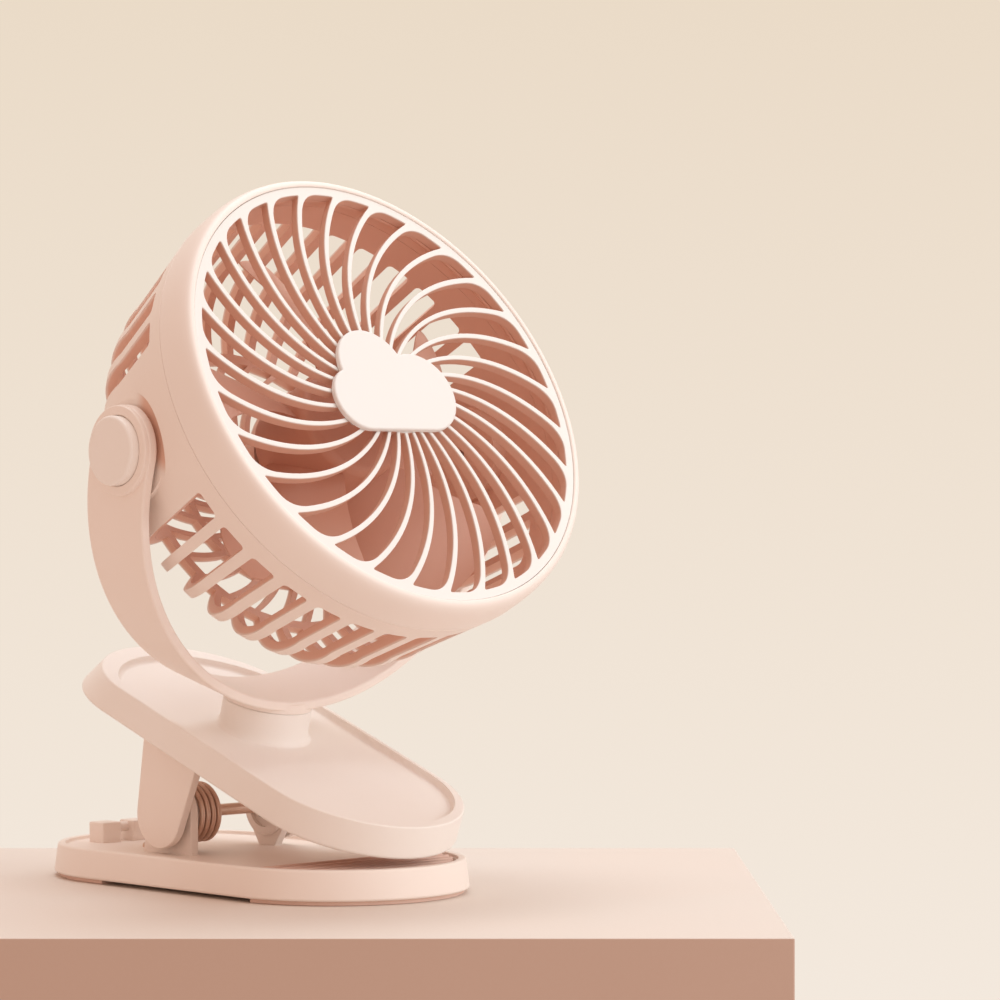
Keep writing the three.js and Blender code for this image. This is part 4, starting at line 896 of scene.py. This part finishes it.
def buildLug(side):
    centre, root = (pinInJaw.x, pinInJaw.z), coverTop - lugs["lap"]
    rear = touchAngle((lugs["rootRear"], root), centre, lugs["tipRadius"], 1)
    front = touchAngle((lugs["rootFront"], root), centre, lugs["tipRadius"], -1)
    outline = [(lugs["rootFront"], root), (lugs["rootRear"], root)]
    outline += arc(*centre, lugs["tipRadius"], math.degrees(rear), math.degrees(front) + 360, 48)
    y0, y1 = (-lugs["outer"], -lugs["inner"]) if side < 0 else (lugs["inner"], lugs["outer"])
    return plate(outline, y0, y1, lugs["soft"])


def buildCover():
    inset, bottom = upperJaw["wall"] + clear, -upperJaw["height"]
    panel = lofted([upperRing(bottom, inset), upperRing(coverTop, inset)])
    joined(panel, buildLug(-1), buildLug(1))
    floor, head, shank = bottom + coverScrews["well"], bores["head"], bores["screw"]
    holes = atScrews([(0, bottom - 1), (head, bottom - 1), (head, floor), (shank, floor),
                      (shank, coverTop + 1), (0, coverTop + 1)])
    pinHole = barAcross(ears["pinBore"], -lugs["boreEnd"], lugs["boreEnd"], pinInJaw.x, pinInJaw.z, 48)
    return cut(panel, pinHole, *holes)


finished(buildTray(), "upperJawTray", jawFrame, paleShell, "upper_jaw", "shell_pale", "upper_jaw_tray")
finished(buildCover(), "upperJawCover", jawFrame, pinkShell, "upper_jaw", "shell_pink", "upper_jaw_cover")
print("upper jaw built")


thread = {"start": -1.0, "pitch": 0.6, "depth": 0.22, "endGap": 0.9, "crossWidth": 0.7, "sides": 28}


def buildScrew(length, shank=1.4, headRadius=3.0, headHeight=1.4):
    # a pan head on a threaded shank: grooves round it and a cross recess
    pitch, z = thread["pitch"], thread["start"]
    turns = [(shank, z + 0.2)]
    while z > -length + thread["endGap"]:
        turns += [(shank, z), (shank - thread["depth"], z - pitch / 2), (shank, z - pitch)]
        z -= pitch
    dome = [(headRadius - headRadius * 0.35 * (1 - math.cos(a)), headHeight * (0.45 + 0.55 * math.sin(a)))
            for a in quarter(4)]
    body = revolved([(0, -length), (shank * 0.5, -length), *turns[::-1], (shank, 0), (headRadius, 0), *dome,
                     (0, headHeight)], thread["sides"])
    arm, low, half = headRadius * 0.5, headHeight * 0.5, thread["crossWidth"] / 2
    return cut(body, block(-arm, arm, -half, half, low, headHeight + 1),
               block(-half, half, -arm, arm, low, headHeight + 1))


def fastened(name, body, place, screw, spots, steel, *nodes):
    # spots are (x, y, z, facing) in the frame that the screws stand in
    points = meshPiece(name, [spot[:3] for spot in spots], [])
    facing = points.data.attributes.new("facing", "FLOAT_VECTOR", "POINT")
    for i, spot in enumerate(spots):
        facing.data[i].vector = spot[3]
    runTree(points, fastenerTree, {"Fastener": screw, "Material": steel[0]})
    bpy.data.objects.remove(screw)
    return finished(points, name, place, steel[0], body, steel[1], *nodes)


plated, blackened = (platedSteel, "steel"), (darkSteel, "dark_steel")
neckScrew = {"length": 10.4, "shank": 1.5, "headRadius": 3.2, "headHeight": 0.75}
pivotScrew = {"length": 9, "headRadius": 5.6}
motorScrew = {"length": 5}
screwSeats = {"cover": -upperJaw["height"] + coverScrews["well"] - clear, "neck": -73.1, "pivot": 71.1,
              "motor": -24.6, "motorSide": 7.8}
coverScrew = buildScrew(coverScrews["length"], headHeight=coverScrews["headHeight"])
fastened("coverScrews", "upper_jaw", jawFrame, coverScrew,
         [(x, y, screwSeats["cover"], (0, 0, -1)) for x, y in coverScrews["places"]], plated,
         "cover_screw_1", "cover_screw_2", "cover_screw_3", "cover_screw_4")
fastened("neckScrew", "upper_jaw", yokeFrame, buildScrew(**neckScrew),
         [(0, 0, screwSeats["neck"], (0, 0, 1))], plated, "neck_screw")
fastened("pivotScrews", "head", yokeFrame, buildScrew(**pivotScrew),
         [(0, side * screwSeats["pivot"], 0, (0, side, 0)) for side in (-1, 1)], plated,
         "pivot_screw_left", "pivot_screw_right")
fastened("motorScrews", "head", headFrame, buildScrew(**motorScrew),
         [(side * screwSeats["motorSide"], 0, screwSeats["motor"], (0, 0, -1)) for side in (-1, 1)],
         blackened, "motor_screw_1", "motor_screw_2")


smallPieces = [
    ("hinge_pin", "hingePin", springWire, "steel", "base", 0.2),
    ("pin_ring_left", "pinRingLeft", darkSteel, "dark_steel", "base", 0.1),
    ("pin_ring_right", "pinRingRight", darkSteel, "dark_steel", "base", 0.1),
    ("battery_cell", "batteryCell", cellFoil, "cell_foil", "upper_jaw", 0.3),
    ("circuit_board", "circuitBoard", boardGreen, "board_green", "upper_jaw", 0.08),
    ("usb_socket", "usbSocket", platedSteel, "steel", "upper_jaw", 0),
    ("indicator_lens", "indicatorLens", clearLens, "lens_clear", "upper_jaw", 0.15),
    ("power_button", "powerButton", paleShell, "shell_pale", "button", 0.1),
    ("neck_washer", "neckWasher", nylonWasher, "nylon", "upper_jaw", 0.1),
    ("pivot_washer_left", "pivotWasherLeft", nylonWasher, "nylon", "yoke", 0.1),
    ("pivot_washer_right", "pivotWasherRight", nylonWasher, "nylon", "yoke", 0.1),
    ("motor_shaft", "motorShaft", platedSteel, "steel", "rotor", 0.1),
]
for node, name, material, slotName, body, soft in smallPieces:
    refined(node, name, material, slotName, body, soft)
print("small pieces refined")


yoke = {"radius": 70.5, "drop": 4, "wall": 2.9, "halfWidth": 12.8, "soft": 0.7, "bendSteps": 90,
        "endSteps": 18, "flangeEnd": 75.4, "flangeLap": 1.9, "wellTop": 71.95, "wellFloor": 1.1,
        "wellRadius": 3.5, "washerWell": 9.5, "washerWall": 1.1}
pivotCap = {"radius": 9.7, "gap": 0.12, "ringRadius": 12.6, "ringHeight": 1.3, "ringSoft": 0.45,
            "ringLap": 0.5, "mouth": 0.25, "face": 74.5, "wall": 1.2, "step": 7,
            "domeWidth": 1.0, "domeHeight": 0.9}
trunnion = {"radius": 4, "land": 66.4, "landRadius": 14.6, "landDepth": 3.5, "relief": 1.6, "end": 70.8}


def bandSection(half, thick, soft):
    # across the band: u along X, v outwards
    soft = min(soft, half * 0.9, thick * 0.45)
    return softened([(-half, -thick / 2, soft), (half, -thick / 2, soft), (half, thick / 2, soft),
                     (-half, thick / 2, soft)], 4)


def buildYokeBand(size):
    middle = size["radius"] - size["wall"] / 2
    stations = []
    wide, steps, ends = size["halfWidth"], size["bendSteps"], size["endSteps"]
    for i in range(1, ends + 1):
        angle = deg(90 * i / ends)
        stations.append((-middle, wide * math.cos(angle), math.pi, wide * math.sin(angle)))
    for i in range(steps + 1):
        angle = math.pi * (1 + i / steps)
        stations.append((middle * math.cos(angle), -size["drop"] + middle * math.sin(angle), angle, wide))
    stations += [(-y, z, 0.0, half) for y, z, way, half in reversed(stations[:ends])]
    rings = []
    for y, z, way, half in stations:
        section = bandSection(half, size["wall"], size["soft"])
        rings.append([(u, y + v * math.cos(way), z + v * math.sin(way)) for u, v in section])
    return lofted(rings)


def buildYoke():
    band = buildYokeBand(yoke)
    radius = yoke["radius"]
    flange = rod(neck["radius"], -yoke["flangeEnd"], -radius - yoke["drop"] + yoke["flangeLap"])
    wide, high, low = pivotCap["ringRadius"], radius + pivotCap["ringHeight"], radius - pivotCap["ringLap"]
    outer = [(0, low), (wide, low), *turnsOver(wide, high, -pivotCap["ringSoft"], 4), (0, high)]
    rings = [acrossY(revolved(outer), side=side) for side in (1, -1)]
    joined(band, flange, *rings)
    washerEnd = trunnion["land"] + 2 * clear + yoke["washerWall"]
    well, soft = pivotCap["radius"] + pivotCap["gap"], pivotCap["mouth"]
    mouth = [(well + soft * math.sin(a), high - soft * (1 - math.sin(a))) for a in quarter(3)]
    capWell = [(0, radius + clear), (well, radius + clear), *mouth, (well + soft, high + 3), (0, high + 3)]
    wells = []
    for side in (1, -1):
        wells.append(acrossY(revolved(capWell), side=side))
        wells.append(acrossY(rod(yoke["washerWell"], radius - yoke["wall"] - 2, washerEnd), side=side))
    hole = barAcross(trunnion["radius"] + clear, -radius - 5, radius + 5)
    # the neck screw's well, closed above by a thin skin
    floor, top = -radius - yoke["drop"] + yoke["wellFloor"], -yoke["wellTop"]
    bore, wide = bores["neckScrew"], yoke["wellRadius"]
    screwWell = revolved([(0, -neck["top"] - 1), (bore, -neck["top"] - 1), (bore, floor), (wide, floor),
                          (wide, top), (0, top)], 48)
    return cut(band, *wells, hole, screwWell)


def buildPivotCap(side):
    seat, face, radius = yoke["radius"] + 2 * clear, pivotCap["face"], pivotCap["radius"]
    wide, high = pivotCap["domeWidth"], pivotCap["domeHeight"]
    dome = [(radius - wide * (1 - math.cos(a)), face - high * (1 - math.sin(a))) for a in quarter(6)]
    step, hollow = pivotCap["step"], face - pivotCap["wall"]
    profile = [(0, hollow), (step, hollow), (step, seat), (radius, seat), *dome, (radius * 0.6, face),
               (0, face)]
    return acrossY(revolved(profile), side=side)


finished(buildYoke(), "yokeBand", yokeFrame, pinkShell, "yoke", "shell_pink", "yoke")
for side, end in ((-1, "left"), (1, "right")):
    finished(buildPivotCap(side), "pivotCap" + end.capitalize(), yokeFrame, paleShell, "yoke", "shell_pale",
             "pivot_cap_" + end)
print("yoke built")


cowl = {"lipRadius": 67.7, "lip": 38.6, "seam": 26, "seamRadius": 70.4, "wall": 2.4, "groove": 67.05,
        "ledge": 64.6, "ledgeTop": 34.74, "throat": 66.1, "tongueEnd": 29.5, "seamGap": 0.12,
        "straight": 3.2, "square": 0.8, "lipSoft": 0.5, "ledgeWall": 0.8, "throatDrop": 2.4, "sides": 192}
cage = {"waist": -1, "waistRadius": 66, "corner": 25, "back": -26, "wall": 3, "tongue": 3.4,
        "tongueWall": 1.6, "tongueFoot": 4.6, "slotTop": 19.5, "slots": 15, "pitch": 9.6,
        "slotAngle": 6.8, "slotCorner": 1.5, "slotEnd": 2.6, "screwFloor": 1.7}
backGrille = {"spokes": 30, "spokeWidth": 1.9, "rows": [(18.5, 29.4), (31.6, 43.4)], "sweep": -26, "steps": 8}
motor = {"radius": 12, "rear": -22.7, "front": -6, "soft": 0.8, "noseRadius": 4, "nose": 1.4, "bore": 1.8,
         "boreDepth": 11, "pilotDepth": 4, "seatWall": 1.9, "seatRear": -23.5, "seatTop": -9}


def buildCowl(size):
    inner = size["seamRadius"] - size["wall"]
    start = size["seam"] + size["seamGap"]
    swell, base, square = size["seamRadius"] - size["lipRadius"], start + size["straight"], size["square"]
    rise = size["lip"] - base
    foot = rises(size["seamRadius"], start, -0.15, 3)
    crown = [(size["lipRadius"] + swell * math.cos(a) ** square, base + rise * math.sin(a) ** square)
             for a in quarter(18)]
    soft, ledge = size["lipSoft"], size["ledgeTop"]
    lip = [(size["groove"] + soft * (1 - math.sin(a)), size["lip"] - soft * (1 - math.cos(a)))
           for a in quarter(4)]
    return revolved([(inner, start), *foot, *crown, *lip, (size["groove"], ledge), (size["ledge"], ledge),
                     (size["ledge"], ledge - size["ledgeWall"]), (size["throat"], ledge - size["throatDrop"]),
                     (size["throat"], size["tongueEnd"]), (inner, size["tongueEnd"])], size["sides"])


def cageProfile(size):
    centre = size["waistRadius"] - size["corner"]
    outer = cowl["seamRadius"] - cowl["wall"] - clear
    inner, seam, back = outer - size["tongueWall"], cowl["seam"], size["back"]
    return [(0, back), *arc(centre, size["waist"], size["corner"], -90, 0, 18),
            (cowl["seamRadius"], seam - cowl["seamGap"]), (cowl["seamRadius"] - cowl["seamGap"], seam),
            (outer, seam), (outer, seam + size["tongue"]), (inner, seam + size["tongue"]),
            (inner, seam - size["tongueFoot"]),
            *arc(centre, size["waist"], size["corner"] - size["wall"], 0, -90, 14), (0, back + size["wall"])]


def sideSlotTool(size):
    # a wedge that runs from the wall round to the back, its front end with rounded corners
    half, corner = deg(size["slotAngle"] / 2), size["slotCorner"]
    reach = half * cowl["seamRadius"]
    outline = softened([(-reach, size["back"] - 2, 0), (reach, size["back"] - 2, 0),
                        (reach, size["slotTop"], corner), (-reach, size["slotTop"], corner)], 5)
    inner = backGrille["rows"][-1][1] + size["slotEnd"]
    rings = []
    for radius in (inner, cowl["seamRadius"] + 5):
        turns = [(s / cowl["seamRadius"], z) for s, z in outline]
        rings.append([(radius * math.cos(turn), radius * math.sin(turn), z) for turn, z in turns])
    return lofted(rings)


def backWindowTool(size, r0, r1):
    first, last = size["rows"][0][0], size["rows"][-1][1]
    pitch = 2 * math.pi / size["spokes"]

    def side(offset, way):
        points = []
        for i in range(size["steps"] + 1):
            radius = r0 + (r1 - r0) * i / size["steps"]
            swirl = deg(size["sweep"]) * (radius - first) / (last - first)
            angle = offset + swirl + way * size["spokeWidth"] / 2 / radius
            points.append((radius * math.cos(angle), radius * math.sin(angle)))
        return points
    return slab(side(0, 1) + side(pitch, -1)[::-1], cage["back"] - 1, cage["back"] + cage["wall"] + 3)


def buildRearCage():
    shell = revolved(cageProfile(cage), cowl["sides"])
    first = -(cage["slots"] - 1) / 2 * cage["pitch"]
    for middle in (0, 180):
        tool = sideSlotTool(cage)
        moved(tool, Matrix.Rotation(deg(middle + first), 4, "Z"))
        cut(shell, repeated(tool, cage["slots"], turn=(0, 0, cage["pitch"])))
    for r0, r1 in backGrille["rows"]:
        window = backWindowTool(backGrille, r0, r1)
        cut(shell, repeated(window, backGrille["spokes"], turn=(0, 0, 360 / backGrille["spokes"])))
    start, land = cage["waistRadius"] - cage["wall"] - trunnion["landDepth"], trunnion["land"]
    wide = trunnion["landRadius"]
    joined(shell, *[acrossY(rod(wide, start, land), side=side) for side in (1, -1)])
    relief = wide + trunnion["relief"]
    cut(shell, *[acrossY(rod(relief, land, cowl["seamRadius"] + 3), side=side) for side in (1, -1)])
    seat, rear, top = motor["radius"] + clear, motor["seatRear"], motor["seatTop"]
    wall = seat + motor["seatWall"]
    collar = revolved([(seat, rear), (wall, rear), (wall, top), (seat, top)], 80)
    stubs = [acrossY(rod(trunnion["radius"], land - 1, trunnion["end"], 48), side=side) for side in (1, -1)]
    joined(shell, collar, *stubs)
    pilots = [acrossY(rod(bores["screw"], start - 1, trunnion["end"] + 1, 32), side=side) for side in (1, -1)]
    back = cage["back"]
    outside, floor, inside = back - 1, back + cage["screwFloor"], back + cage["wall"] + 1
    head, shank = bores["head"], bores["screw"]
    profile = [(0, outside), (head, outside), (head, floor), (shank, floor), (shank, inside), (0, inside)]
    holes = [shifted(revolved(profile, 32), side * screwSeats["motorSide"]) for side in (-1, 1)]
    return cut(shell, *pilots, *holes)


def buildMotorCan():
    nose, bore, rear, front = motor["noseRadius"], motor["bore"], motor["rear"], motor["front"]
    top, deep = front + motor["nose"], front - motor["boreDepth"]
    can = revolved([(0, rear), (motor["radius"], rear), *turnsOver(motor["radius"], front, -motor["soft"], 4),
                    (nose, front), (nose, top), (bore, top), (bore, deep), (0, deep)], 72)
    pilot = bores["screw"], rear - 1, rear + motor["pilotDepth"], 24
    return cut(can, *[shifted(rod(*pilot), side * screwSeats["motorSide"]) for side in (-1, 1)])


finished(buildCowl(cowl), "frontCowl", headFrame, cowlPink, "head", "shell_pink", "front_cowl")
finished(buildRearCage(), "rearCage", headFrame, cagePink, "head", "cage_pink", "rear_cage")
finished(buildMotorCan(), "motorCan", headFrame, platedSteel, "head", "steel", "motor_can")
print("cowl and cage built")


grille = {"bars": 30, "radius": 66.93, "tipRadius": 64.4, "hubRadius": 14, "front": 38.1, "thickness": 3.3,
          "barDepth": 3.0, "sweep": -30, "bend": 1.1, "first": 6.6, "innerWidth": 1.1, "outerWidth": 1.75,
          "tipCurve": 4.6, "tipSoft": 0.8, "soft": 0.22, "rimSoft": 0.15}
plaque = {"thickness": 1.5, "edge": 0.6, "stem": 3.2, "sides": 120,
          "lobes": [(-13.5, -4, 9.9), (-5.3, 6, 12.3), (10.2, -1.4, 12.5)]}  # right, up, radius


def grilleSlot(size, widen):
    # the gap between two bars: tapered, swept, and rounded at its outer leading corner
    hub, tip = size["hubRadius"], size["tipRadius"] + widen
    pitch = 2 * math.pi / size["bars"]

    def swirl(radius):
        part = max(radius - hub, 0) / (size["tipRadius"] - hub)
        return deg(size["sweep"]) * part ** size["bend"]

    def halfAngle(radius):
        part = (radius - hub) / (size["tipRadius"] - hub)
        width = size["innerWidth"] + (size["outerWidth"] - size["innerWidth"]) * part - 2 * widen
        return width / 2 / radius * math.hypot(1, (swirl(radius + 0.5) - swirl(radius - 0.5)) * radius)

    def polar(radius, angle):
        return Vector((radius * math.cos(angle), radius * math.sin(angle)))

    start = deg(size["first"]) - swirl(size["tipRadius"])
    radii = [hub - widen + (tip - size["tipSoft"] - hub + widen) * i / 20 for i in range(21)]
    trailing = [polar(r, start + swirl(r) + halfAngle(r)) for r in radii]
    radii = [hub - widen + (tip - size["tipCurve"] - hub + widen) * i / 20 for i in range(21)]
    leading = [polar(r, start + swirl(r) + pitch - halfAngle(r)) for r in radii]
    tipStart = start + swirl(tip) + halfAngle(tip)
    tipEnd = start + swirl(tip) + pitch - halfAngle(tip)
    arcStart, softTurn = tipStart + size["tipSoft"] / tip, tipEnd - size["tipCurve"] / tip
    loop = trailing + curve(trailing[-1], polar(tip, tipStart), polar(tip, arcStart), 4)
    loop += [polar(tip, arcStart + (softTurn - arcStart) * i / 6) for i in range(1, 7)]
    loop += curve(loop[-1], polar(tip, tipEnd), leading[-1], 8)
    return [tuple(point) for point in loop + leading[-2::-1]]


def buildGrille(size):
    front, soft, rim = size["front"], size["soft"], cowl["ledge"]
    back, rimBack = front - size["barDepth"], front - size["thickness"]
    disc = revolved([(0, back), (rim, back), (rim + 0.3, rimBack), (size["radius"], rimBack),
                     *turnsOver(size["radius"], front, -size["rimSoft"], 3), (0, front)], cowl["sides"])
    levels = [(0.0, back - 1), *turnsOver(0, front, soft, 4), (soft, front + 1)]
    tool = lofted([[(x, y, z) for x, y in grilleSlot(size, widen)] for widen, z in levels])
    slots = repeated(tool, size["bars"], turn=(0, 0, 360 / size["bars"]))
    return cut(disc, slots, rod(plaque["stem"] + clear, back - 1, front + 1, 48))


def buildPlaque(size):
    z0 = grille["front"] + clear
    z1, edge = z0 + size["thickness"], size["edge"]
    rise = turnsOver(0, z1, edge)
    lobes = []
    for right, up, radius in size["lobes"]:
        side = [(radius - inset, z) for inset, z in rise]
        lobe = revolved([(0, z0), (radius, z0), *side, (0, z1)], size["sides"])
        lobes.append(shifted(lobe, -up, right))
    left, last = size["lobes"][0], size["lobes"][-1]
    bottom = last[2] - last[1]
    outline = [(0, z0), (bottom, z0)] + [(bottom - inset, z) for inset, z in rise] + [(0, z1)]
    footBar = lofted([[(x, y, z) for x, z in outline] for y in (left[0], last[0])])
    stem = rod(size["stem"], grille["front"] - grille["thickness"] + 0.4, z0 + 0.5, 48)
    return joined(lobes[0], *lobes[1:], footBar, stem)


finished(buildGrille(grille), "frontGrille", headFrame, grillePale, "head", "shell_pale", "front_grille")
finished(buildPlaque(plaque), "grillePlaque", headFrame, plaquePale, "head", "shell_pale", "grille_plaque")
print("front grille built")


rotor = {"hubRadius": 17.5, "rear": -4, "front": 20, "soft": 3, "tip": 57.5, "blades": 5, "thickness": 1.5,
         "wall": 1.8, "sleeve": 2.6, "roof": 2.4, "firstBlade": 20, "stations": 20, "across": 16}
blade = {"height": 8, "chord": 22, "spread": 26, "pitch": 46, "flatten": 20, "sweep": 0.35, "crown": 1.6,
         "tipFrom": 0.7, "tipRound": 7, "edge": 0.35}


def buildBlade(size):
    # sections round the shaft that widen, flatten and sweep towards the tip
    root, edge = size["hubRadius"] - size["wall"] / 2, blade["edge"]
    rings = []
    for i in range(size["stations"] + 1):
        part = i / size["stations"]
        radius = root + (size["tip"] - root) * part
        tipRound = math.sqrt(1 - max(0, part - blade["tipFrom"]) ** 2 * blade["tipRound"])
        chord = (blade["chord"] + blade["spread"] * part ** 0.8) * tipRound
        pitch = deg(blade["pitch"] - blade["flatten"] * part)
        middle = deg(size["firstBlade"]) + blade["sweep"] * part ** 1.5
        spots = [-1 + 2 * k / size["across"] for k in range(size["across"] + 1)]
        ring = []
        for way, row in ((-1, spots), (1, spots[::-1])):
            for s in row:
                turn = middle + s * chord / 2 * math.cos(pitch) / radius
                bulge = edge + (1 - edge) * math.cos(s * math.pi / 2)
                lift = s * chord / 2 * math.sin(pitch) + blade["crown"] * (1 - s * s)
                height = blade["height"] + lift + way * size["thickness"] / 2 * bulge
                ring.append((radius * math.cos(turn), radius * math.sin(turn), height))
        rings.append(ring)
    return lofted(rings)


def buildRotor(size):
    outer, rear, front = size["hubRadius"], size["rear"], size["front"]
    bore, soft = motor["bore"], size["soft"]
    sleeve, inner, roof = bore + size["sleeve"], outer - size["wall"], front - size["roof"]
    hub = revolved([(bore, rear + 2), (sleeve, rear + 2), (sleeve, roof), (inner, roof), (inner, rear),
                    (outer, rear), *arc(outer - soft, front - soft, soft, 0, 90, 8), (bore, front)], 96)
    return joined(hub, repeated(buildBlade(size), size["blades"], turn=(0, 0, 360 / size["blades"])))


finished(buildRotor(rotor), "fanRotor", headFrame, rotorPink, "rotor", "shell_pale", "fan_rotor")
print("rotor built")


# the slab's sides take a darker copy of the top's colour, as painted shade
stage = {"front": 915, "back": 1151.7, "left": -900, "right": 76, "thickness": 60,
         "top": (0.75, 0.68, 0.62), "topShade": (0.78, 0.68, 0.61), "side": (0.56, 0.39, 0.31),
         "sideShade": (0.54, 0.37, 0.29)}
camera = {"x": 799.7, "y": -681.7, "z": 112.9, "look": (-0.715, 0.699, 0.0), "lens": 127.8, "sensor": 36}
lamps = [
    {"name": "keyLamp", "from": (1000, 480, 560), "size": 0.9, "power": 5.8, "colour": (0.80, 0.97, 1.04)},
    {"name": "topLamp", "from": (-150, 260, 1150), "size": 0.9, "power": 6.8, "colour": (0.80, 0.97, 1.06)},
    {"name": "lowLamp", "from": (1150, -100, 90), "size": 0.9, "power": 1.55, "colour": (0.74, 0.96, 1.06)},
]
backdrop = {"light": (0.905, 0.82, 0.735), "shade": (0.82, 0.70, 0.565), "ambient": (1.0, 0.725, 0.60),
            "strength": 0.755, "fade": 0.16}


def slabFinish(name, colour, shade):
    skin = {"Colour": colour, "Shade": shade, "Mottle": 6.0, "Grain": 900.0, "Smooth": 0.6, "Rough": 0.75}
    return finish(name, mouldedSkin, {"surface": skin, "bump": 0.05, "depth": 0.05})


def buildStage(size):
    look = Vector(camera["look"]).normalized()
    right = look.cross(Vector((0, 0, 1)))
    start = Vector((camera["x"] + shiftX, camera["y"], 0))
    corners = [(size["left"], size["front"]), (size["right"], size["front"]), (size["right"], size["back"]),
               (size["left"], size["back"])]
    flat = [start + right * across + look * depth for across, depth in corners]
    floor = lofted([[(p.x, p.y, z) for p in flat] for z in (-size["thickness"], -0.02)])
    eased(floor, 0.4)
    floor.name = "floorSlab"
    floor.data.materials.append(slabFinish("slabTop", size["top"], size["topShade"]))
    floor.data.materials.append(slabFinish("slabSideShaded", size["side"], size["sideShade"]))
    for face in floor.data.polygons:
        # faces that do not look up get the darker copy: painted shade
        face.material_index = 0 if face.normal.z > 0.5 else 1


def buildCamera(size):
    lens = bpy.data.cameras.new("photoCamera")
    lens.lens = size["lens"]
    lens.sensor_width = size["sensor"]
    eye = bpy.data.objects.new("photoCamera", lens)
    eye.location = Vector((size["x"] + shiftX, size["y"], size["z"])) * mm
    eye.rotation_euler = Vector(size["look"]).to_track_quat("-Z", "Y").to_euler()
    bpy.context.scene.collection.objects.link(eye)
    bpy.context.scene.camera = eye


def buildLamp(size):
    lamp = bpy.data.lights.new(size["name"], "AREA")
    lamp.size = size["size"]
    lamp.energy = size["power"]
    lamp.color = size["colour"]
    holder = bpy.data.objects.new(size["name"], lamp)
    holder.location = Vector(size["from"]) * mm
    holder.rotation_euler = (Vector((0, 0, 0.1)) - holder.location).to_track_quat("-Z", "Y").to_euler()
    bpy.context.scene.collection.objects.link(holder)


def buildWorld(size):
    # an even light, and behind it a plain pale ground that only the camera and reflections see
    world = bpy.data.worlds.new("studio")
    bpy.context.scene.world = world
    world.use_nodes = True
    nodes, links = world.node_tree.nodes, world.node_tree.links
    nodes.clear()
    out = nodes.new("ShaderNodeOutputWorld")
    pick = nodes.new("ShaderNodeMixShader")
    lit, seen = nodes.new("ShaderNodeBackground"), nodes.new("ShaderNodeBackground")
    lit.inputs["Color"].default_value = (*size["ambient"], 1.0)
    lit.inputs["Strength"].default_value = size["strength"]
    place = nodes.new("ShaderNodeTexCoord")
    split = nodes.new("ShaderNodeSeparateXYZ")
    fade = nodes.new("ShaderNodeMapRange")
    fade.inputs["From Min"].default_value, fade.inputs["From Max"].default_value = -size["fade"], size["fade"]
    tone = nodes.new("ShaderNodeMix")
    tone.data_type = "RGBA"
    tone.inputs["A"].default_value = (*size["light"], 1.0)
    tone.inputs["B"].default_value = (*size["shade"], 1.0)
    links.new(place.outputs["Generated"], split.inputs[0])
    links.new(split.outputs["Z"], fade.inputs["Value"])
    links.new(fade.outputs[0], tone.inputs["Factor"])
    links.new(tone.outputs["Result"], seen.inputs["Color"])
    rays = nodes.new("ShaderNodeLightPath")
    total = rays.outputs["Is Camera Ray"]
    for label in ("Is Glossy Ray", "Is Transmission Ray"):
        either = nodes.new("ShaderNodeMath")
        either.operation = "MAXIMUM"
        links.new(total, either.inputs[0])
        links.new(rays.outputs[label], either.inputs[1])
        total = either.outputs[0]
    links.new(total, pick.inputs[0])
    links.new(lit.outputs[0], pick.inputs[1])
    links.new(seen.outputs[0], pick.inputs[2])
    links.new(pick.outputs[0], out.inputs[0])


buildStage(stage)
buildCamera(camera)
buildWorld(backdrop)
for lamp in lamps:
    buildLamp(lamp)
bpy.context.scene.view_settings.view_transform = "Standard"
print("stage, light and camera set")
